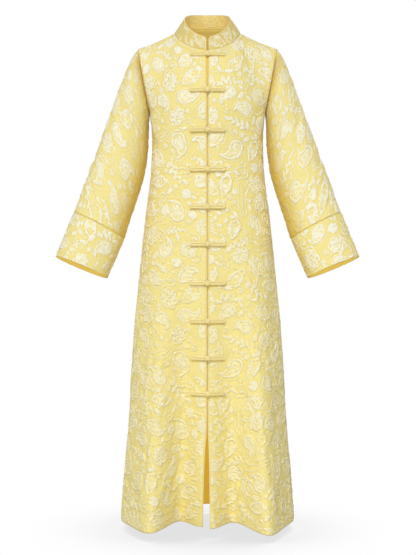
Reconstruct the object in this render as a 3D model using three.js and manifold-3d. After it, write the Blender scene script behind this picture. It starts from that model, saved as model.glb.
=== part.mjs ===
// Mandarin collar dress: a long A-line dress with a stand collar, set-in sleeves
// with deep cuffs, and ten knotted frogs down the centre front.
// Millimetres, +Z up. The front faces -Y and the wearer's left is +X.
// The origin lies between the wearer's shoulders, level with the two points where
// the shoulder seams meet the collar.
import * as THREE from 'three';
import { mergeVertices } from 'three/addons/utils/BufferGeometryUtils.js';
import Module from 'manifold-3d';

const wasm = await Module();
wasm.setup();

// Sides and faces of the garment, as signs on X and Y.
const LEFT = 1;
const RIGHT = -1;
const FRONT = -1;
const BACK = 1;

// Cloth
const WALL = 2.0; // the brocade with its padding of puckers
const SEAM_GAP = 0.3;
const LEANING_SEAM_GAP = 0.39; // along a wall that leans against its neighbour's edge
const ARMHOLE_GAP = 0.4;

// Levels
const CHEST_Z = -215; // underarm
const HEM_Z = -1285;
const WAIST_FOLD_Z = -520; // the skirt's folds start here
const FOLD_GROWTH = 1.35;
const HEM_DIP = 0.09; // the hem drops this share of what a fold stands out

// Body sections below the underarm: half the width, and the depth of front and back.
const BODY = [
  { z: -215, half: 152, front: 114, back: 98 },
  { z: -270, half: 147, front: 112, back: 94 },
  { z: -330, half: 147, front: 110, back: 91 },
  { z: -400, half: 152, front: 112, back: 94 },
  { z: -506, half: 166, front: 118, back: 106 },
  { z: -633, half: 179, front: 124, back: 122 },
  { z: -771, half: 192, front: 128, back: 140 },
  { z: -898, half: 201, front: 131, back: 155 },
  { z: -1026, half: 208, front: 134, back: 170 },
  { z: -1153, half: 219, front: 137, back: 184 },
  { z: -1291, half: 229, front: 139, back: 198 },
];
const SQUARENESS = 2.4; // 2 is an ellipse, more is squarer
const SIDE_CALM = 10; // the higher, the closer to the side seams the folds reach

// Largest folds, by their place from centre (0) to side seam (1), their spread, and
// how far they stand out (or in, below zero) at the hem.
const FOLDS = [
  { face: FRONT, side: RIGHT, place: 0.3, spread: 0.16, out: -66 },
  { face: FRONT, side: RIGHT, place: 0.66, spread: 0.2, out: 54 },
  { face: FRONT, side: LEFT, place: 0.28, spread: 0.16, out: -56 },
  { face: FRONT, side: LEFT, place: 0.69, spread: 0.19, out: 74 },
  { face: BACK, side: RIGHT, place: 0.24, spread: 0.13, out: -20 },
  { face: BACK, side: RIGHT, place: 0.56, spread: 0.17, out: 30 },
  { face: BACK, side: LEFT, place: 0.3, spread: 0.14, out: -26 },
  { face: BACK, side: LEFT, place: 0.62, spread: 0.16, out: 26 },
];

// Centre front: the distance of each front's edge from the middle. The fronts meet
// edge to edge under the frogs and part in a slit below the last one.
const OPENING = [
  { z: -58, right: 4.4, left: 4.4 },
  { z: -150, right: 3.2, left: 3.2 },
  { z: -270, right: 2.3, left: 2.3 },
  { z: -955, right: 2.3, left: 2.3 },
  { z: -1040, right: 3.4, left: 2.6 },
  { z: -1087, right: 7.4, left: 4.6 },
  { z: -1171, right: 10.8, left: 6.4 },
  { z: -1291, right: 13, left: 7.8 },
];

// Below the last frog the two front edges swing, one in and one out.
const SLIT_TOP = -955;
const SLIT_SWING = new Map([[RIGHT, -16], [LEFT, 10]]);
const SWING_SPREAD = 0.22;

// Neckline, an oval tilted down to the front
const NECK_HALF = 86;
const NECK_FRONT = 70;
const NECK_BACK = 60;
const NECK_TILT = 40;
const NECK_DIP = 18;

// Collar, leaning in towards its top edge
const COLLAR_HALF = 62;
const COLLAR_FRONT = 60;
const COLLAR_BACK = 52;
const COLLAR_SIDE_Z = 34;
const COLLAR_TILT = 39.5;
const COLLAR_DIP = 16.5;
const COLLAR_CORNER = 10;
const COLLAR_HEIGHT = 37;
const COLLAR_END = 5; // half the space between the two collar ends
const CORNER_STEPS = [0, 0.12, 0.35, 0.65, 1]; // closest where the corner is steepest
const COLLAR_STEPS = 22;
const COLLAR_ROWS = [0, 0.35, 0.7, 1];

// Shoulder and armhole
const SHOULDER = { x: 183, z: -42 };
const SHOULDER_SAG = 3;
const NECK_SHARE = 0.53; // share of a panel's top edge that lies on the neckline
const YOKE_SHARE = 0.3; // share of a panel's rows above the underarm

// Pulls of the curves that run from the top edge down to the chest, at the centre,
// at the neck point and at the shoulder point. Each is x, y, z from its own end.
const FRONT_PULLS = {
  top: [[0, -20, -45], [2, -48, -26], [1, -46, -22]],
  chest: [[0, 2, 60], [-3, 4, 85], [6, -74, 25]],
};
const BACK_PULLS = {
  top: [[0, 24, -35], [8, 44, -14], [1, 48, -20]],
  chest: [[0, 4, 70], [-3, 2, 85], [6, 76, 25]],
};
const SHOULDER_PULL_POWER = 1.8; // keeps the shoulder's own pull close to its end

// Sleeve rings: the outer and inner point seen from the front, half the depth, how far
// the middle lies forward, and the tilt of the ring in degrees. The last row but one
// is the cuff seam and the last is the cuff's opening.
const SLEEVE = [
  { outX: 193, outZ: -57, inX: 154.6, inZ: -226, depth: 58, forward: 0, tilt: 0 },
  { outX: 209, outZ: -88, inX: 155.6, inZ: -246, depth: 60, forward: 1, tilt: 1 },
  { outX: 231, outZ: -144, inX: 156.4, inZ: -284, depth: 61, forward: 4, tilt: 3 },
  { outX: 247, outZ: -190, inX: 158, inZ: -315, depth: 61, forward: 8, tilt: 4 },
  { outX: 265, outZ: -240, inX: 162, inZ: -352, depth: 60, forward: 14, tilt: 5 },
  { outX: 283, outZ: -294, inX: 170, inZ: -392, depth: 59, forward: 22, tilt: 6 },
  { outX: 303, outZ: -352, inX: 184, inZ: -440, depth: 58, forward: 32, tilt: 7 },
  { outX: 325, outZ: -416, inX: 201, inZ: -494, depth: 57, forward: 44, tilt: 8 },
  { outX: 347.5, outZ: -481, inX: 217.5, inZ: -548, depth: 55, forward: 57, tilt: 8 },
  { outX: 391.5, outZ: -595, inX: 259.5, inZ: -649, depth: 53, forward: 78, tilt: 8 },
];
const CUFF_PROUD = 0.8; // the cuff stands this far outside the sleeve
const CUFF_ROWS = 4;

// Frogs: straight bars of two cords and a round knot on the middle
const FROG_HEIGHTS = [-69, -167, -270, -371, -467, -562.5, -662, -759, -853, -943];
const FROG_REACH = 44;
const CORD = 5.6;
const CORD_PITCH = 5.4;
const CORD_GROOVE = 0.5; // how far out the valley between the two cords lies
const CORD_ARC = { start: 0.14, span: 0.72 }; // of half a turn round a cord
const CORD_ARC_STEPS = 2;
const BAR_END = { length: 2, inner: 0.72, outer: 0.6 }; // its ends are drawn in
const KNOT_RADIUS = 7;
const KNOT_TURN = 1.3; // radians
const KNOT_HOLD = 3.4; // the button's bar starts this far from the middle, in the knot
const LOOP_CLEAR = 0.6; // the loop's bar ends this far from the knot
const LAY_CLEAR = 0.45; // frogs lie this far off the cloth

// Underlap behind the centre-front gap
const UNDERLAP_HALF = 14;
const UNDERLAP_TOP = -66;
const UNDERLAP_END = -952;
const UNDERLAP_WALL = 1.4;
const UNDERLAP_CLEAR = 0.75; // behind the inside of the fronts
const SHORTEST_ROW = 5;
const EDGE_CLEAR = 1; // just beside the edge of a front

// Grid steps
const FRONT_COLUMNS = 16;
const BACK_COLUMNS = 13;
const YOKE_ROWS = 8;
const SKIRT_ROWS = 18;
const RING_STEPS = 20;
const NORMAL_STEP = 0.002;
const TINY = 1e-6;
const HALVINGS = 36;

const BROCADE = new THREE.MeshStandardMaterial({
  color: 0xf1e3a0, roughness: 0.75, metalness: 0, side: THREE.DoubleSide,
});
const FROG_CORD = new THREE.MeshStandardMaterial({
  color: 0xe3c268, roughness: 0.55, metalness: 0,
});
const PLAIN_SATIN = new THREE.MeshStandardMaterial({
  color: 0xd9b765, roughness: 0.6, metalness: 0,
});

const lerp = THREE.MathUtils.lerp;
const vector = (x, y, z) => new THREE.Vector3(x, y, z);

// A smooth curve through one column of a table, read at a height.
function readTable(rows, z, column) {
  const last = rows.length - 1;
  const height = THREE.MathUtils.clamp(z, rows[last].z, rows[0].z);
  let i = 0;
  while (i < last - 1 && rows[i + 1].z > height) i += 1;
  const slope = (k) => {
    const a = rows[Math.max(k - 1, 0)];
    const b = rows[Math.min(k + 1, last)];
    return (b[column] - a[column]) / (b.z - a.z);
  };
  const span = rows[i + 1].z - rows[i].z;
  const t = (height - rows[i].z) / span;
  const t2 = t * t;
  const t3 = t2 * t;
  return (2 * t3 - 3 * t2 + 1) * rows[i][column] + (t3 - 2 * t2 + t) * span * slope(i)
    + (3 * t2 - 2 * t3) * rows[i + 1][column] + (t3 - t2) * span * slope(i + 1);
}

// How far the folds stand out at the hem, by the place across the panel.
function foldAtHem(face, side, ratio) {
  let out = 0;
  for (const fold of FOLDS) {
    if (fold.face !== face || fold.side !== side) continue;
    out += fold.out * Math.exp(-(((ratio - fold.place) / fold.spread) ** 2));
  }
  return out * (1 - ratio ** SIDE_CALM);
}

function foldGrowth(z) {
  const down = (WAIST_FOLD_Z - z) / (WAIST_FOLD_Z - HEM_Z);
  return Math.max(down, 0) ** FOLD_GROWTH;
}

// How far a front stands out beside the slit.
function slitSwing(side, ratio, z) {
  const down = Math.max((SLIT_TOP - z) / (SLIT_TOP - HEM_Z), 0);
  return SLIT_SWING.get(side) * down ** 2 * Math.exp(-((ratio / SWING_SPREAD) ** 2));
}

// A point on the body's outer surface below the underarm. across runs from the
// centre (0) to the side seam (1).
function ringPoint(face, side, across, z) {
  const half = readTable(BODY, z, 'half');
  const depth = readTable(BODY, z, face === FRONT ? 'front' : 'back');
  const start = face === FRONT ? readTable(OPENING, z, side === LEFT ? 'left' : 'right') : 0;
  const turn = across * Math.PI / 2;
  const x = start + (half - start) * Math.sin(turn) ** (2 / SQUARENESS);
  const ratio = Math.min(x / half, 1);
  const deep = depth * (1 - ratio ** SQUARENESS) ** (1 / SQUARENESS);
  const swing = face === FRONT ? slitSwing(side, ratio, z) : 0;
  const y = deep + foldAtHem(face, side, ratio) * foldGrowth(z) + swing;
  return vector(side * x, face * Math.max(y, SEAM_GAP / 2), z);
}

// A point on the neckline. turn is 0 at centre front and 180 degrees at centre back.
function neckPoint(turn) {
  const forward = Math.cos(turn);
  const reach = forward > 0 ? NECK_FRONT : NECK_BACK;
  const z = -NECK_TILT * forward - NECK_DIP * forward * forward;
  return vector(NECK_HALF * Math.sin(turn), -reach * forward, z);
}

// The top edge of a panel: the neckline, then the shoulder seam.
function topEdge(face, side, across) {
  if (across < NECK_SHARE) {
    const share = across / NECK_SHARE;
    const start = face === FRONT ? Math.asin(OPENING[0].left / NECK_HALF) : Math.PI;
    const point = neckPoint(lerp(start, Math.PI / 2, share));
    point.x = side * Math.abs(point.x);
    point.y = face * Math.max(Math.abs(point.y), SEAM_GAP / 2);
    return point;
  }
  const out = (across - NECK_SHARE) / (1 - NECK_SHARE);
  const sag = SHOULDER_SAG * Math.sin(Math.PI * out);
  return vector(side * lerp(NECK_HALF, SHOULDER.x, out), face * SEAM_GAP / 2,
    lerp(0, SHOULDER.z, out) - sag);
}

// One pull, blended between the centre, the neck point and the shoulder point.
function blendPull(pulls, side, across) {
  const inner = across < NECK_SHARE;
  const share = inner ? across / NECK_SHARE : (across - NECK_SHARE) / (1 - NECK_SHARE);
  const weight = inner ? share * share * (3 - 2 * share) : share ** SHOULDER_PULL_POWER;
  const a = vector(...pulls[inner ? 0 : 1]);
  const pull = a.lerp(vector(...pulls[inner ? 1 : 2]), weight);
  pull.x *= side;
  return pull;
}

// A point on a panel's outer surface. down runs from the top edge (0) to the hem (1).
function panelPoint(face, side, across, down) {
  if (down >= YOKE_SHARE) {
    const hemRatio = Math.sin(across * Math.PI / 2) ** (2 / SQUARENESS);
    const hem = HEM_Z - HEM_DIP * foldAtHem(face, side, hemRatio);
    const share = (down - YOKE_SHARE) / (1 - YOKE_SHARE);
    return ringPoint(face, side, across, lerp(CHEST_Z, hem, share));
  }
  const pulls = face === FRONT ? FRONT_PULLS : BACK_PULLS;
  const top = topEdge(face, side, across);
  const chest = ringPoint(face, side, across, CHEST_Z);
  const curve = new THREE.CubicBezierCurve3(
    top, top.clone().add(blendPull(pulls.top, side, across)),
    chest.clone().add(blendPull(pulls.chest, side, across)), chest);
  return curve.getPoint(down / YOKE_SHARE);
}

// The outward normal of a panel, level across the shoulder and side seams so that the
// two walls there stay apart.
function panelNormal(face, side, across, down) {
  const a0 = Math.max(across - NORMAL_STEP, 0);
  const a1 = Math.min(across + NORMAL_STEP, 1);
  const d0 = Math.max(down - NORMAL_STEP, 0);
  const d1 = Math.min(down + NORMAL_STEP, 1);
  const along = panelPoint(face, side, a1, down).sub(panelPoint(face, side, a0, down));
  const fall = panelPoint(face, side, across, d1).sub(panelPoint(face, side, across, d0));
  const normal = along.cross(fall).multiplyScalar(face * side);
  const onShoulder = down < TINY && across >= NECK_SHARE;
  const onSide = across > 1 - TINY && down >= YOKE_SHARE - TINY;
  if (onShoulder || onSide) normal.y = 0;
  return normal.normalize();
}

// The rows of every panel, closer above the underarm.
function panelRows() {
  const rows = [];
  for (let i = 0; i < YOKE_ROWS; i += 1) rows.push(YOKE_SHARE * i / YOKE_ROWS);
  for (let i = 0; i <= SKIRT_ROWS; i += 1) {
    rows.push(lerp(YOKE_SHARE, 1, i / SKIRT_ROWS));
  }
  return rows;
}

// Places across a panel, from the centre to the side. The place at the centre is just
// off zero, so that its sign still tells the side.
function places(count, side) {
  const list = [];
  for (let i = 0; i <= count; i += 1) list.push(side * Math.max(i / count, TINY / 1000));
  return list;
}

// The outer points of a panel and its normals there. Negative places are the
// wearer's right.
function panelGrid(face, across) {
  const grid = (make) => panelRows().map((down) => across.map(
    (place) => make(face, place < 0 ? RIGHT : LEFT, Math.abs(place), down)));
  return { outer: grid(panelPoint), normals: grid(panelNormal) };
}

const FRONT_GRIDS = new Map([LEFT, RIGHT].map(
  (side) => [side, panelGrid(FRONT, places(FRONT_COLUMNS, side))]));

// A point on a front's flat facets, moved out by a distance. What lies on a front is
// placed with this, so that it follows the same facets.
function facetPoint(side, across, down, out) {
  const rows = panelRows();
  const last = rows.length - 2;
  let i = 0;
  while (i < last && rows[i + 1] <= down) i += 1;
  const j = Math.min(Math.floor(across * FRONT_COLUMNS), FRONT_COLUMNS - 1);
  const u = across * FRONT_COLUMNS - j;
  const v = (down - rows[i]) / (rows[i + 1] - rows[i]);
  const { outer, normals } = FRONT_GRIDS.get(side);
  const corner = (a, b) => outer[a][b].clone().addScaledVector(normals[a][b], out);
  const start = corner(i, j);
  const far = corner(i + 1, j + 1);
  const middle = u >= v ? corner(i, j + 1) : corner(i + 1, j);
  const first = middle.clone().sub(start).multiplyScalar(Math.max(u, v));
  const second = far.sub(middle).multiplyScalar(Math.min(u, v));
  return start.add(first).add(second);
}

// The place between 0 and 1 up to which a test is true, by halving.
function solve(test) {
  let low = 0;
  let high = 1;
  for (let i = 0; i < HALVINGS; i += 1) {
    const middle = (low + high) / 2;
    if (test(middle)) low = middle;
    else high = middle;
  }
  return (low + high) / 2;
}

// A point on a front at a distance from the middle and a height, moved out, with the
// normal there.
function offFront(side, x, z, out) {
  const downAt = (across) => solve((down) => facetPoint(side, across, down, 0).z > z);
  const across = solve((a) => Math.abs(facetPoint(side, a, downAt(a), 0).x) < x);
  const down = downAt(across);
  const point = facetPoint(side, across, down, out);
  return { point, normal: panelNormal(FRONT, side, across, down) };
}

// A mesh geometry from points and triangles, turned to face outwards.
function closedGeometry(points, triangles) {
  let volume = 0;
  for (const [a, b, c] of triangles) {
    volume += points[a].dot(points[b].clone().cross(points[c]));
  }
  const faces = volume < 0 ? triangles.map(([a, b, c]) => [a, c, b]) : triangles;
  const geometry = new THREE.BufferGeometry();
  geometry.setAttribute('position', new THREE.Float32BufferAttribute(
    points.flatMap((p) => [p.x, p.y, p.z]), 3));
  geometry.setIndex(faces.flat());
  return geometry;
}

// A wall of cloth between an outer and an inner grid of points, open at its edges or
// closed round into a tube.
function clothWall(outer, inner, tube = false) {
  const rows = outer.length;
  const columns = outer[0].length;
  const points = [...outer.flat(), ...inner.flat()];
  const out = (i, j) => i * columns + (j % columns);
  const back = (i, j) => out(i, j) + rows * columns;
  const triangles = [];
  const quad = (a, b, c, d) => triangles.push([a, b, c], [a, c, d]);
  const spans = tube ? columns : columns - 1;
  for (let i = 0; i < rows - 1; i += 1) {
    for (let j = 0; j < spans; j += 1) {
      quad(out(i, j), out(i, j + 1), out(i + 1, j + 1), out(i + 1, j));
      quad(back(i, j), back(i + 1, j), back(i + 1, j + 1), back(i, j + 1));
    }
  }
  for (let j = 0; j < spans; j += 1) {
    quad(out(0, j + 1), out(0, j), back(0, j), back(0, j + 1));
    quad(out(rows - 1, j), out(rows - 1, j + 1), back(rows - 1, j + 1), back(rows - 1, j));
  }
  for (let i = 0; i < rows - 1 && !tube; i += 1) {
    quad(out(i, 0), out(i + 1, 0), back(i + 1, 0), back(i, 0));
    const end = columns - 1;
    quad(out(i + 1, end), out(i, end), back(i, end), back(i + 1, end));
  }
  return closedGeometry(points, triangles);
}

// A panel's wall, from its outer points in by the thickness of the cloth.
function panelWall({ outer, normals }) {
  const inner = outer.map((row, i) => row.map(
    (point, j) => point.clone().addScaledVector(normals[i][j], -WALL)));
  return clothWall(outer, inner);
}

function backPanel() {
  const right = places(BACK_COLUMNS, RIGHT).reverse();
  const left = places(BACK_COLUMNS, LEFT).slice(1);
  return panelWall(panelGrid(BACK, [...right, ...left]));
}

// The armhole edge of the body, from the shoulder down the front and up the back.
function armholeRing(side) {
  const ring = [];
  for (let k = 0; k < RING_STEPS; k += 1) {
    const inFront = k <= RING_STEPS / 2;
    const down = (inFront ? k : RING_STEPS - k) / (RING_STEPS / 2);
    const place = YOKE_SHARE * Math.min(down, 1 - TINY);
    const point = panelPoint(inFront ? FRONT : BACK, side, 1, place);
    if (k === 0 || k === RING_STEPS / 2) point.y = 0;
    ring.push(point);
  }
  return ring;
}

// A ring of the sleeve, from its outer point round the front to its inner point.
function sleeveRing(side, row) {
  const middle = vector((row.outX + row.inX) / 2, -row.forward, (row.outZ + row.inZ) / 2);
  const reach = vector((row.outX - row.inX) / 2, 0, (row.outZ - row.inZ) / 2);
  const tilt = THREE.MathUtils.degToRad(row.tilt);
  const front = vector(0, -row.depth * Math.cos(tilt), row.depth * Math.sin(tilt));
  const ring = [];
  for (let k = 0; k < RING_STEPS; k += 1) {
    const turn = 2 * Math.PI * k / RING_STEPS;
    const point = middle.clone().addScaledVector(reach, Math.cos(turn));
    point.addScaledVector(front, Math.sin(turn));
    point.x *= side;
    ring.push(point);
  }
  return ring;
}

// Outward normals of a tube of rings.
function tubeNormals(rings) {
  const last = rings.length - 1;
  return rings.map((ring, i) => ring.map((point, j) => {
    const round = ring[(j + 1) % RING_STEPS].clone()
      .sub(ring[(j + RING_STEPS - 1) % RING_STEPS]);
    const along = rings[Math.min(i + 1, last)][j].clone().sub(rings[Math.max(i - 1, 0)][j]);
    const normal = round.cross(along).normalize();
    const middle = ring.reduce((sum, p) => sum.add(p), vector(0, 0, 0))
      .divideScalar(RING_STEPS);
    return normal.dot(point.clone().sub(middle)) < 0 ? normal.negate() : normal;
  }));
}

function moveRings(rings, normals, out) {
  return rings.map((ring, i) => ring.map(
    (point, j) => point.clone().addScaledVector(normals[i][j], out)));
}

// The sleeve's rings below the armhole, down to the cuff seam.
function sleeveRings(side) {
  const rows = SLEEVE.slice(0, -1);
  return rows.map((row) => sleeveRing(side, row));
}

// The sleeve, from the armhole to the cuff seam. Its first ring stands just outside
// the body's edge, and its wall there turns in towards the armhole's middle.
function sleeve(side) {
  const head = armholeRing(side);
  const start = head.map((point) => point.clone().add(vector(side * ARMHOLE_GAP, 0, 0)));
  const rings = [start, ...sleeveRings(side)];
  const inner = moveRings(rings, tubeNormals(rings), -WALL);
  const middleZ = (SHOULDER.z + CHEST_Z) / 2;
  inner[0] = start.map((point) => {
    const inwards = vector(0, -point.y, middleZ - point.z).normalize();
    return point.clone().addScaledVector(inwards, WALL);
  });
  return clothWall(rings, inner, true);
}

// A deep cuff, a little wider than the sleeve, open at its end.
function cuff(side) {
  const seamRow = SLEEVE[SLEEVE.length - 2];
  const openRow = SLEEVE[SLEEVE.length - 1];
  const length = Math.hypot(openRow.outX - seamRow.outX, openRow.outZ - seamRow.outZ);
  const rings = [];
  for (let i = 0; i <= CUFF_ROWS; i += 1) {
    const share = Math.max(i / CUFF_ROWS, LEANING_SEAM_GAP / length);
    const row = {};
    for (const key of Object.keys(seamRow)) row[key] = lerp(seamRow[key], openRow[key], share);
    rings.push(sleeveRing(side, row));
  }
  const normals = tubeNormals(rings);
  return clothWall(moveRings(rings, normals, CUFF_PROUD),
    moveRings(rings, normals, CUFF_PROUD - WALL), true);
}

// A point on the collar. share runs from the neck seam (0) to the top edge (1).
function collarPoint(turn, share) {
  const forward = Math.cos(turn);
  const reach = forward > 0 ? COLLAR_FRONT : COLLAR_BACK;
  const top = vector(COLLAR_HALF * Math.sin(turn), -reach * forward,
    COLLAR_SIDE_Z - COLLAR_TILT * forward - COLLAR_DIP * forward * forward);
  const base = neckPoint(turn);
  const rise = top.clone().sub(base);
  const start = LEANING_SEAM_GAP / rise.length();
  return base.addScaledVector(rise, lerp(start, 1, share));
}

// Turns round the neck from one collar end to the other, closer at the round corners.
function collarTurns() {
  const end = COLLAR_END / NECK_HALF;
  const corner = COLLAR_CORNER / NECK_FRONT;
  const near = CORNER_STEPS.map((k) => end + corner * k);
  const far = near.map((turn) => 2 * Math.PI - turn).reverse();
  const middle = [];
  for (let i = 1; i < COLLAR_STEPS; i += 1) {
    middle.push(lerp(end + corner, far[0], i / COLLAR_STEPS));
  }
  return [...near, ...middle, ...far];
}

// How much of the collar's height is left at a turn, for the round front corners.
function collarHeightShare(turn) {
  const fromEnd = (Math.min(turn, 2 * Math.PI - turn) - COLLAR_END / NECK_HALF) * NECK_FRONT;
  const inside = Math.max(COLLAR_CORNER - fromEnd, 0);
  const drop = COLLAR_CORNER - Math.sqrt(COLLAR_CORNER ** 2 - inside ** 2);
  return 1 - drop / COLLAR_HEIGHT;
}

// The stand collar, one band round the neck.
function collar() {
  const turns = collarTurns();
  const outer = COLLAR_ROWS.map((row) => turns.map(
    (turn) => collarPoint(turn, row * collarHeightShare(turn))));
  const inner = outer.map((line) => line.map((point, j) => {
    const inwards = vector(-Math.sin(turns[j]), Math.cos(turns[j]), 0);
    return point.clone().addScaledVector(inwards, WALL);
  }));
  return clothWall(outer, inner);
}

// The plain strip behind the centre-front gap, from the collar to the last frog. Its
// rows are the fronts' own rows.
function underlap() {
  const heights = [UNDERLAP_TOP];
  for (const down of panelRows()) {
    const { z } = facetPoint(LEFT, 0, down, 0);
    const inside = z < UNDERLAP_TOP - SHORTEST_ROW && z > UNDERLAP_END + SHORTEST_ROW;
    if (inside) heights.push(z);
  }
  heights.push(UNDERLAP_END);
  const outer = heights.map((z) => [-UNDERLAP_HALF, 0, UNDERLAP_HALF].map((x) => {
    const side = x < 0 ? RIGHT : LEFT;
    const edge = readTable(OPENING, z, 'right') + EDGE_CLEAR;
    const { point } = offFront(side, Math.max(Math.abs(x), edge), z, -WALL - UNDERLAP_CLEAR);
    point.x = x;
    return point;
  }));
  const inner = outer.map((line) => line.map(
    (point) => point.clone().add(vector(0, UNDERLAP_WALL, 0))));
  return clothWall(outer, inner);
}

// The outline of two cords side by side: out from the cloth, and up.
function cordPair() {
  const radius = CORD / 2;
  const outline = [];
  for (const sign of [-1, 1]) {
    for (let k = 0; k <= CORD_ARC_STEPS; k += 1) {
      const turn = Math.PI * (CORD_ARC.start + CORD_ARC.span * k / CORD_ARC_STEPS);
      outline.push([sign * radius * Math.cos(turn),
        sign * (CORD_PITCH / 2 + radius * Math.sin(turn))]);
    }
    outline.push([sign * -radius * CORD_GROOVE, 0]);
  }
  return outline;
}

// One half of a frog's bar, a pair of cords along the front, drawn in at both ends. It
// has a station where the front's first facet ends, so that it bends with the cloth.
function frogBar(side, z, from) {
  const { point: crease } = offFront(side, from, z, 0);
  const down = solve((d) => facetPoint(side, 1 / FRONT_COLUMNS, d, 0).z > crease.z);
  const bend = Math.abs(facetPoint(side, 1 / FRONT_COLUMNS, down, 0).x);
  const stations = [
    { x: from, size: BAR_END.inner },
    { x: from + BAR_END.length, size: 1 },
    { x: bend, size: 1 },
    { x: FROG_REACH - BAR_END.length, size: 1 },
    { x: FROG_REACH, size: BAR_END.outer },
  ];
  const outline = cordPair();
  const points = [];
  for (const { x, size } of stations) {
    const { point, normal } = offFront(side, x, z, LAY_CLEAR + CORD / 2);
    const up = vector(0, 0, 1).addScaledVector(normal, -normal.z).normalize();
    for (const [out, rise] of outline) {
      points.push(point.clone().addScaledVector(normal, out * size)
        .addScaledVector(up, rise * size));
    }
  }
  const round = outline.length;
  const triangles = [];
  for (let i = 0; i < stations.length - 1; i += 1) {
    for (let j = 0; j < round; j += 1) {
      const a = i * round + j;
      const b = i * round + (j + 1) % round;
      triangles.push([a, b, b + round], [a, b + round, a + round]);
    }
  }
  // Each end is closed with one fan a cord, from the groove between them.
  const end = (stations.length - 1) * round;
  for (const start of [0, round / 2]) {
    const hub = (start + round - 1) % round;
    for (let a = start; a < start + round / 2 - 1; a += 1) {
      triangles.push([hub, a + 1, a], [end + hub, end + a, end + a + 1]);
    }
  }
  return closedGeometry(points, triangles);
}

function toManifold(geometry) {
  const bare = geometry.clone();
  bare.deleteAttribute('normal');
  bare.deleteAttribute('uv');
  const merged = mergeVertices(bare);
  return new wasm.Manifold(new wasm.Mesh({
    numProp: 3,
    vertProperties: merged.attributes.position.array,
    triVerts: new Uint32Array(merged.index.array),
  }));
}

function fromManifold(solid) {
  const mesh = solid.getMesh();
  const geometry = new THREE.BufferGeometry();
  geometry.setAttribute('position', new THREE.BufferAttribute(mesh.vertProperties, 3));
  geometry.setIndex(new THREE.BufferAttribute(mesh.triVerts, 1));
  return geometry;
}

// The half with the knot, which passes through the other half's loop.
function frogButton(z) {
  const knot = new THREE.SphereGeometry(KNOT_RADIUS, 8, 6);
  const { point } = offFront(LEFT, readTable(OPENING, z, 'left') + EDGE_CLEAR, z, 0);
  knot.rotateX(KNOT_TURN);
  knot.translate(0, point.y - LAY_CLEAR - KNOT_RADIUS, z);
  const bar = frogBar(LEFT, z, KNOT_HOLD);
  return fromManifold(toManifold(knot).add(toManifold(bar)));
}

// The half with the loop, which ends beside the knot.
function frogLoop(z) {
  return frogBar(RIGHT, z, KNOT_RADIUS + LOOP_CLEAR);
}

function piece(name, geometry, material) {
  geometry.computeVertexNormals();
  const mesh = new THREE.Mesh(geometry, material);
  mesh.name = name;
  return mesh;
}

const dress = new THREE.Group();
dress.add(piece('front_left', panelWall(FRONT_GRIDS.get(LEFT)), BROCADE));
dress.add(piece('front_right', panelWall(FRONT_GRIDS.get(RIGHT)), BROCADE));
dress.add(piece('back', backPanel(), BROCADE));
dress.add(piece('collar', collar(), BROCADE));
dress.add(piece('front_underlap', underlap(), PLAIN_SATIN));
dress.add(piece('sleeve_left', sleeve(LEFT), BROCADE));
dress.add(piece('sleeve_right', sleeve(RIGHT), BROCADE));
dress.add(piece('cuff_left', cuff(LEFT), BROCADE));
dress.add(piece('cuff_right', cuff(RIGHT), BROCADE));
FROG_HEIGHTS.forEach((z, index) => {
  const label = String(index + 1).padStart(2, '0');
  dress.add(piece(`frog_${label}_button`, frogButton(z), FROG_CORD));
  dress.add(piece(`frog_${label}_loop`, frogLoop(z), FROG_CORD));
});

export default dress;
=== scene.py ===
# %% [markdown]
# # A mandarin collar dress in puckered brocade
#
# The dress hangs as it is worn, with nobody in it. Two long fronts meet edge to edge
# under ten knotted frogs and part in a slit below the last one. The back is one
# panel, the sleeves are wide and end in deep cuffs, and a stand collar closes the
# neck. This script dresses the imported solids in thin, finely modelled cloth. Every
# piece is worked out from the same few sizes as the solids, so it lies where they do.

# %% The frame
import math

import bpy
import numpy as np
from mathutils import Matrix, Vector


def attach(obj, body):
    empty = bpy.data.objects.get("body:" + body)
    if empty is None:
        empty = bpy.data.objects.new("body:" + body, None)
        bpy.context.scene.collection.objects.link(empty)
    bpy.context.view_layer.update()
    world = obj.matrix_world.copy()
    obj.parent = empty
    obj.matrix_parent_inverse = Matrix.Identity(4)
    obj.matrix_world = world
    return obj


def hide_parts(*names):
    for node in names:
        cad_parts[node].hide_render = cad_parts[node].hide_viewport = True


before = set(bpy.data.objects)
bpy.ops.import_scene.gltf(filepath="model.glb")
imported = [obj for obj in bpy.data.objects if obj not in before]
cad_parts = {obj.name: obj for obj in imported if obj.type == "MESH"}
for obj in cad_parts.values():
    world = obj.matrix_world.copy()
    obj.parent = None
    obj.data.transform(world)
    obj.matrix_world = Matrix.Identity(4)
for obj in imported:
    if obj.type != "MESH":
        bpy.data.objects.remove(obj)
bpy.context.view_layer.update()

# %% [markdown]
# ## The camera
#
# The photograph is taken level, from about three metres, at the height of the middle
# of the dress. A long lens keeps the cuffs and the hem free of distortion. The camera
# comes first, because everything else is judged through it.

# %% The camera
PHOTO_LONG_SIDE = 555
CAMERA_AWAY = 3.1
CAMERA_HEIGHT = -0.648
CAMERA_ASIDE = 0.0013
LENS_PIXELS = 1170
SENSOR = 36


def new_object(name, data):
    """A new object, linked into the scene."""
    made = bpy.data.objects.new(name, data)
    bpy.context.scene.collection.objects.link(made)
    return made


camera_data = bpy.data.cameras.new("camera")
camera_data.sensor_width = SENSOR
camera_data.lens = LENS_PIXELS * SENSOR / PHOTO_LONG_SIDE
camera = new_object("camera", camera_data)
camera.location = (CAMERA_ASIDE, -CAMERA_AWAY, CAMERA_HEIGHT)
camera.rotation_euler = (math.radians(90), 0, 0)
bpy.context.scene.camera = camera
print("lens", round(camera_data.lens, 1), "mm")

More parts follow.
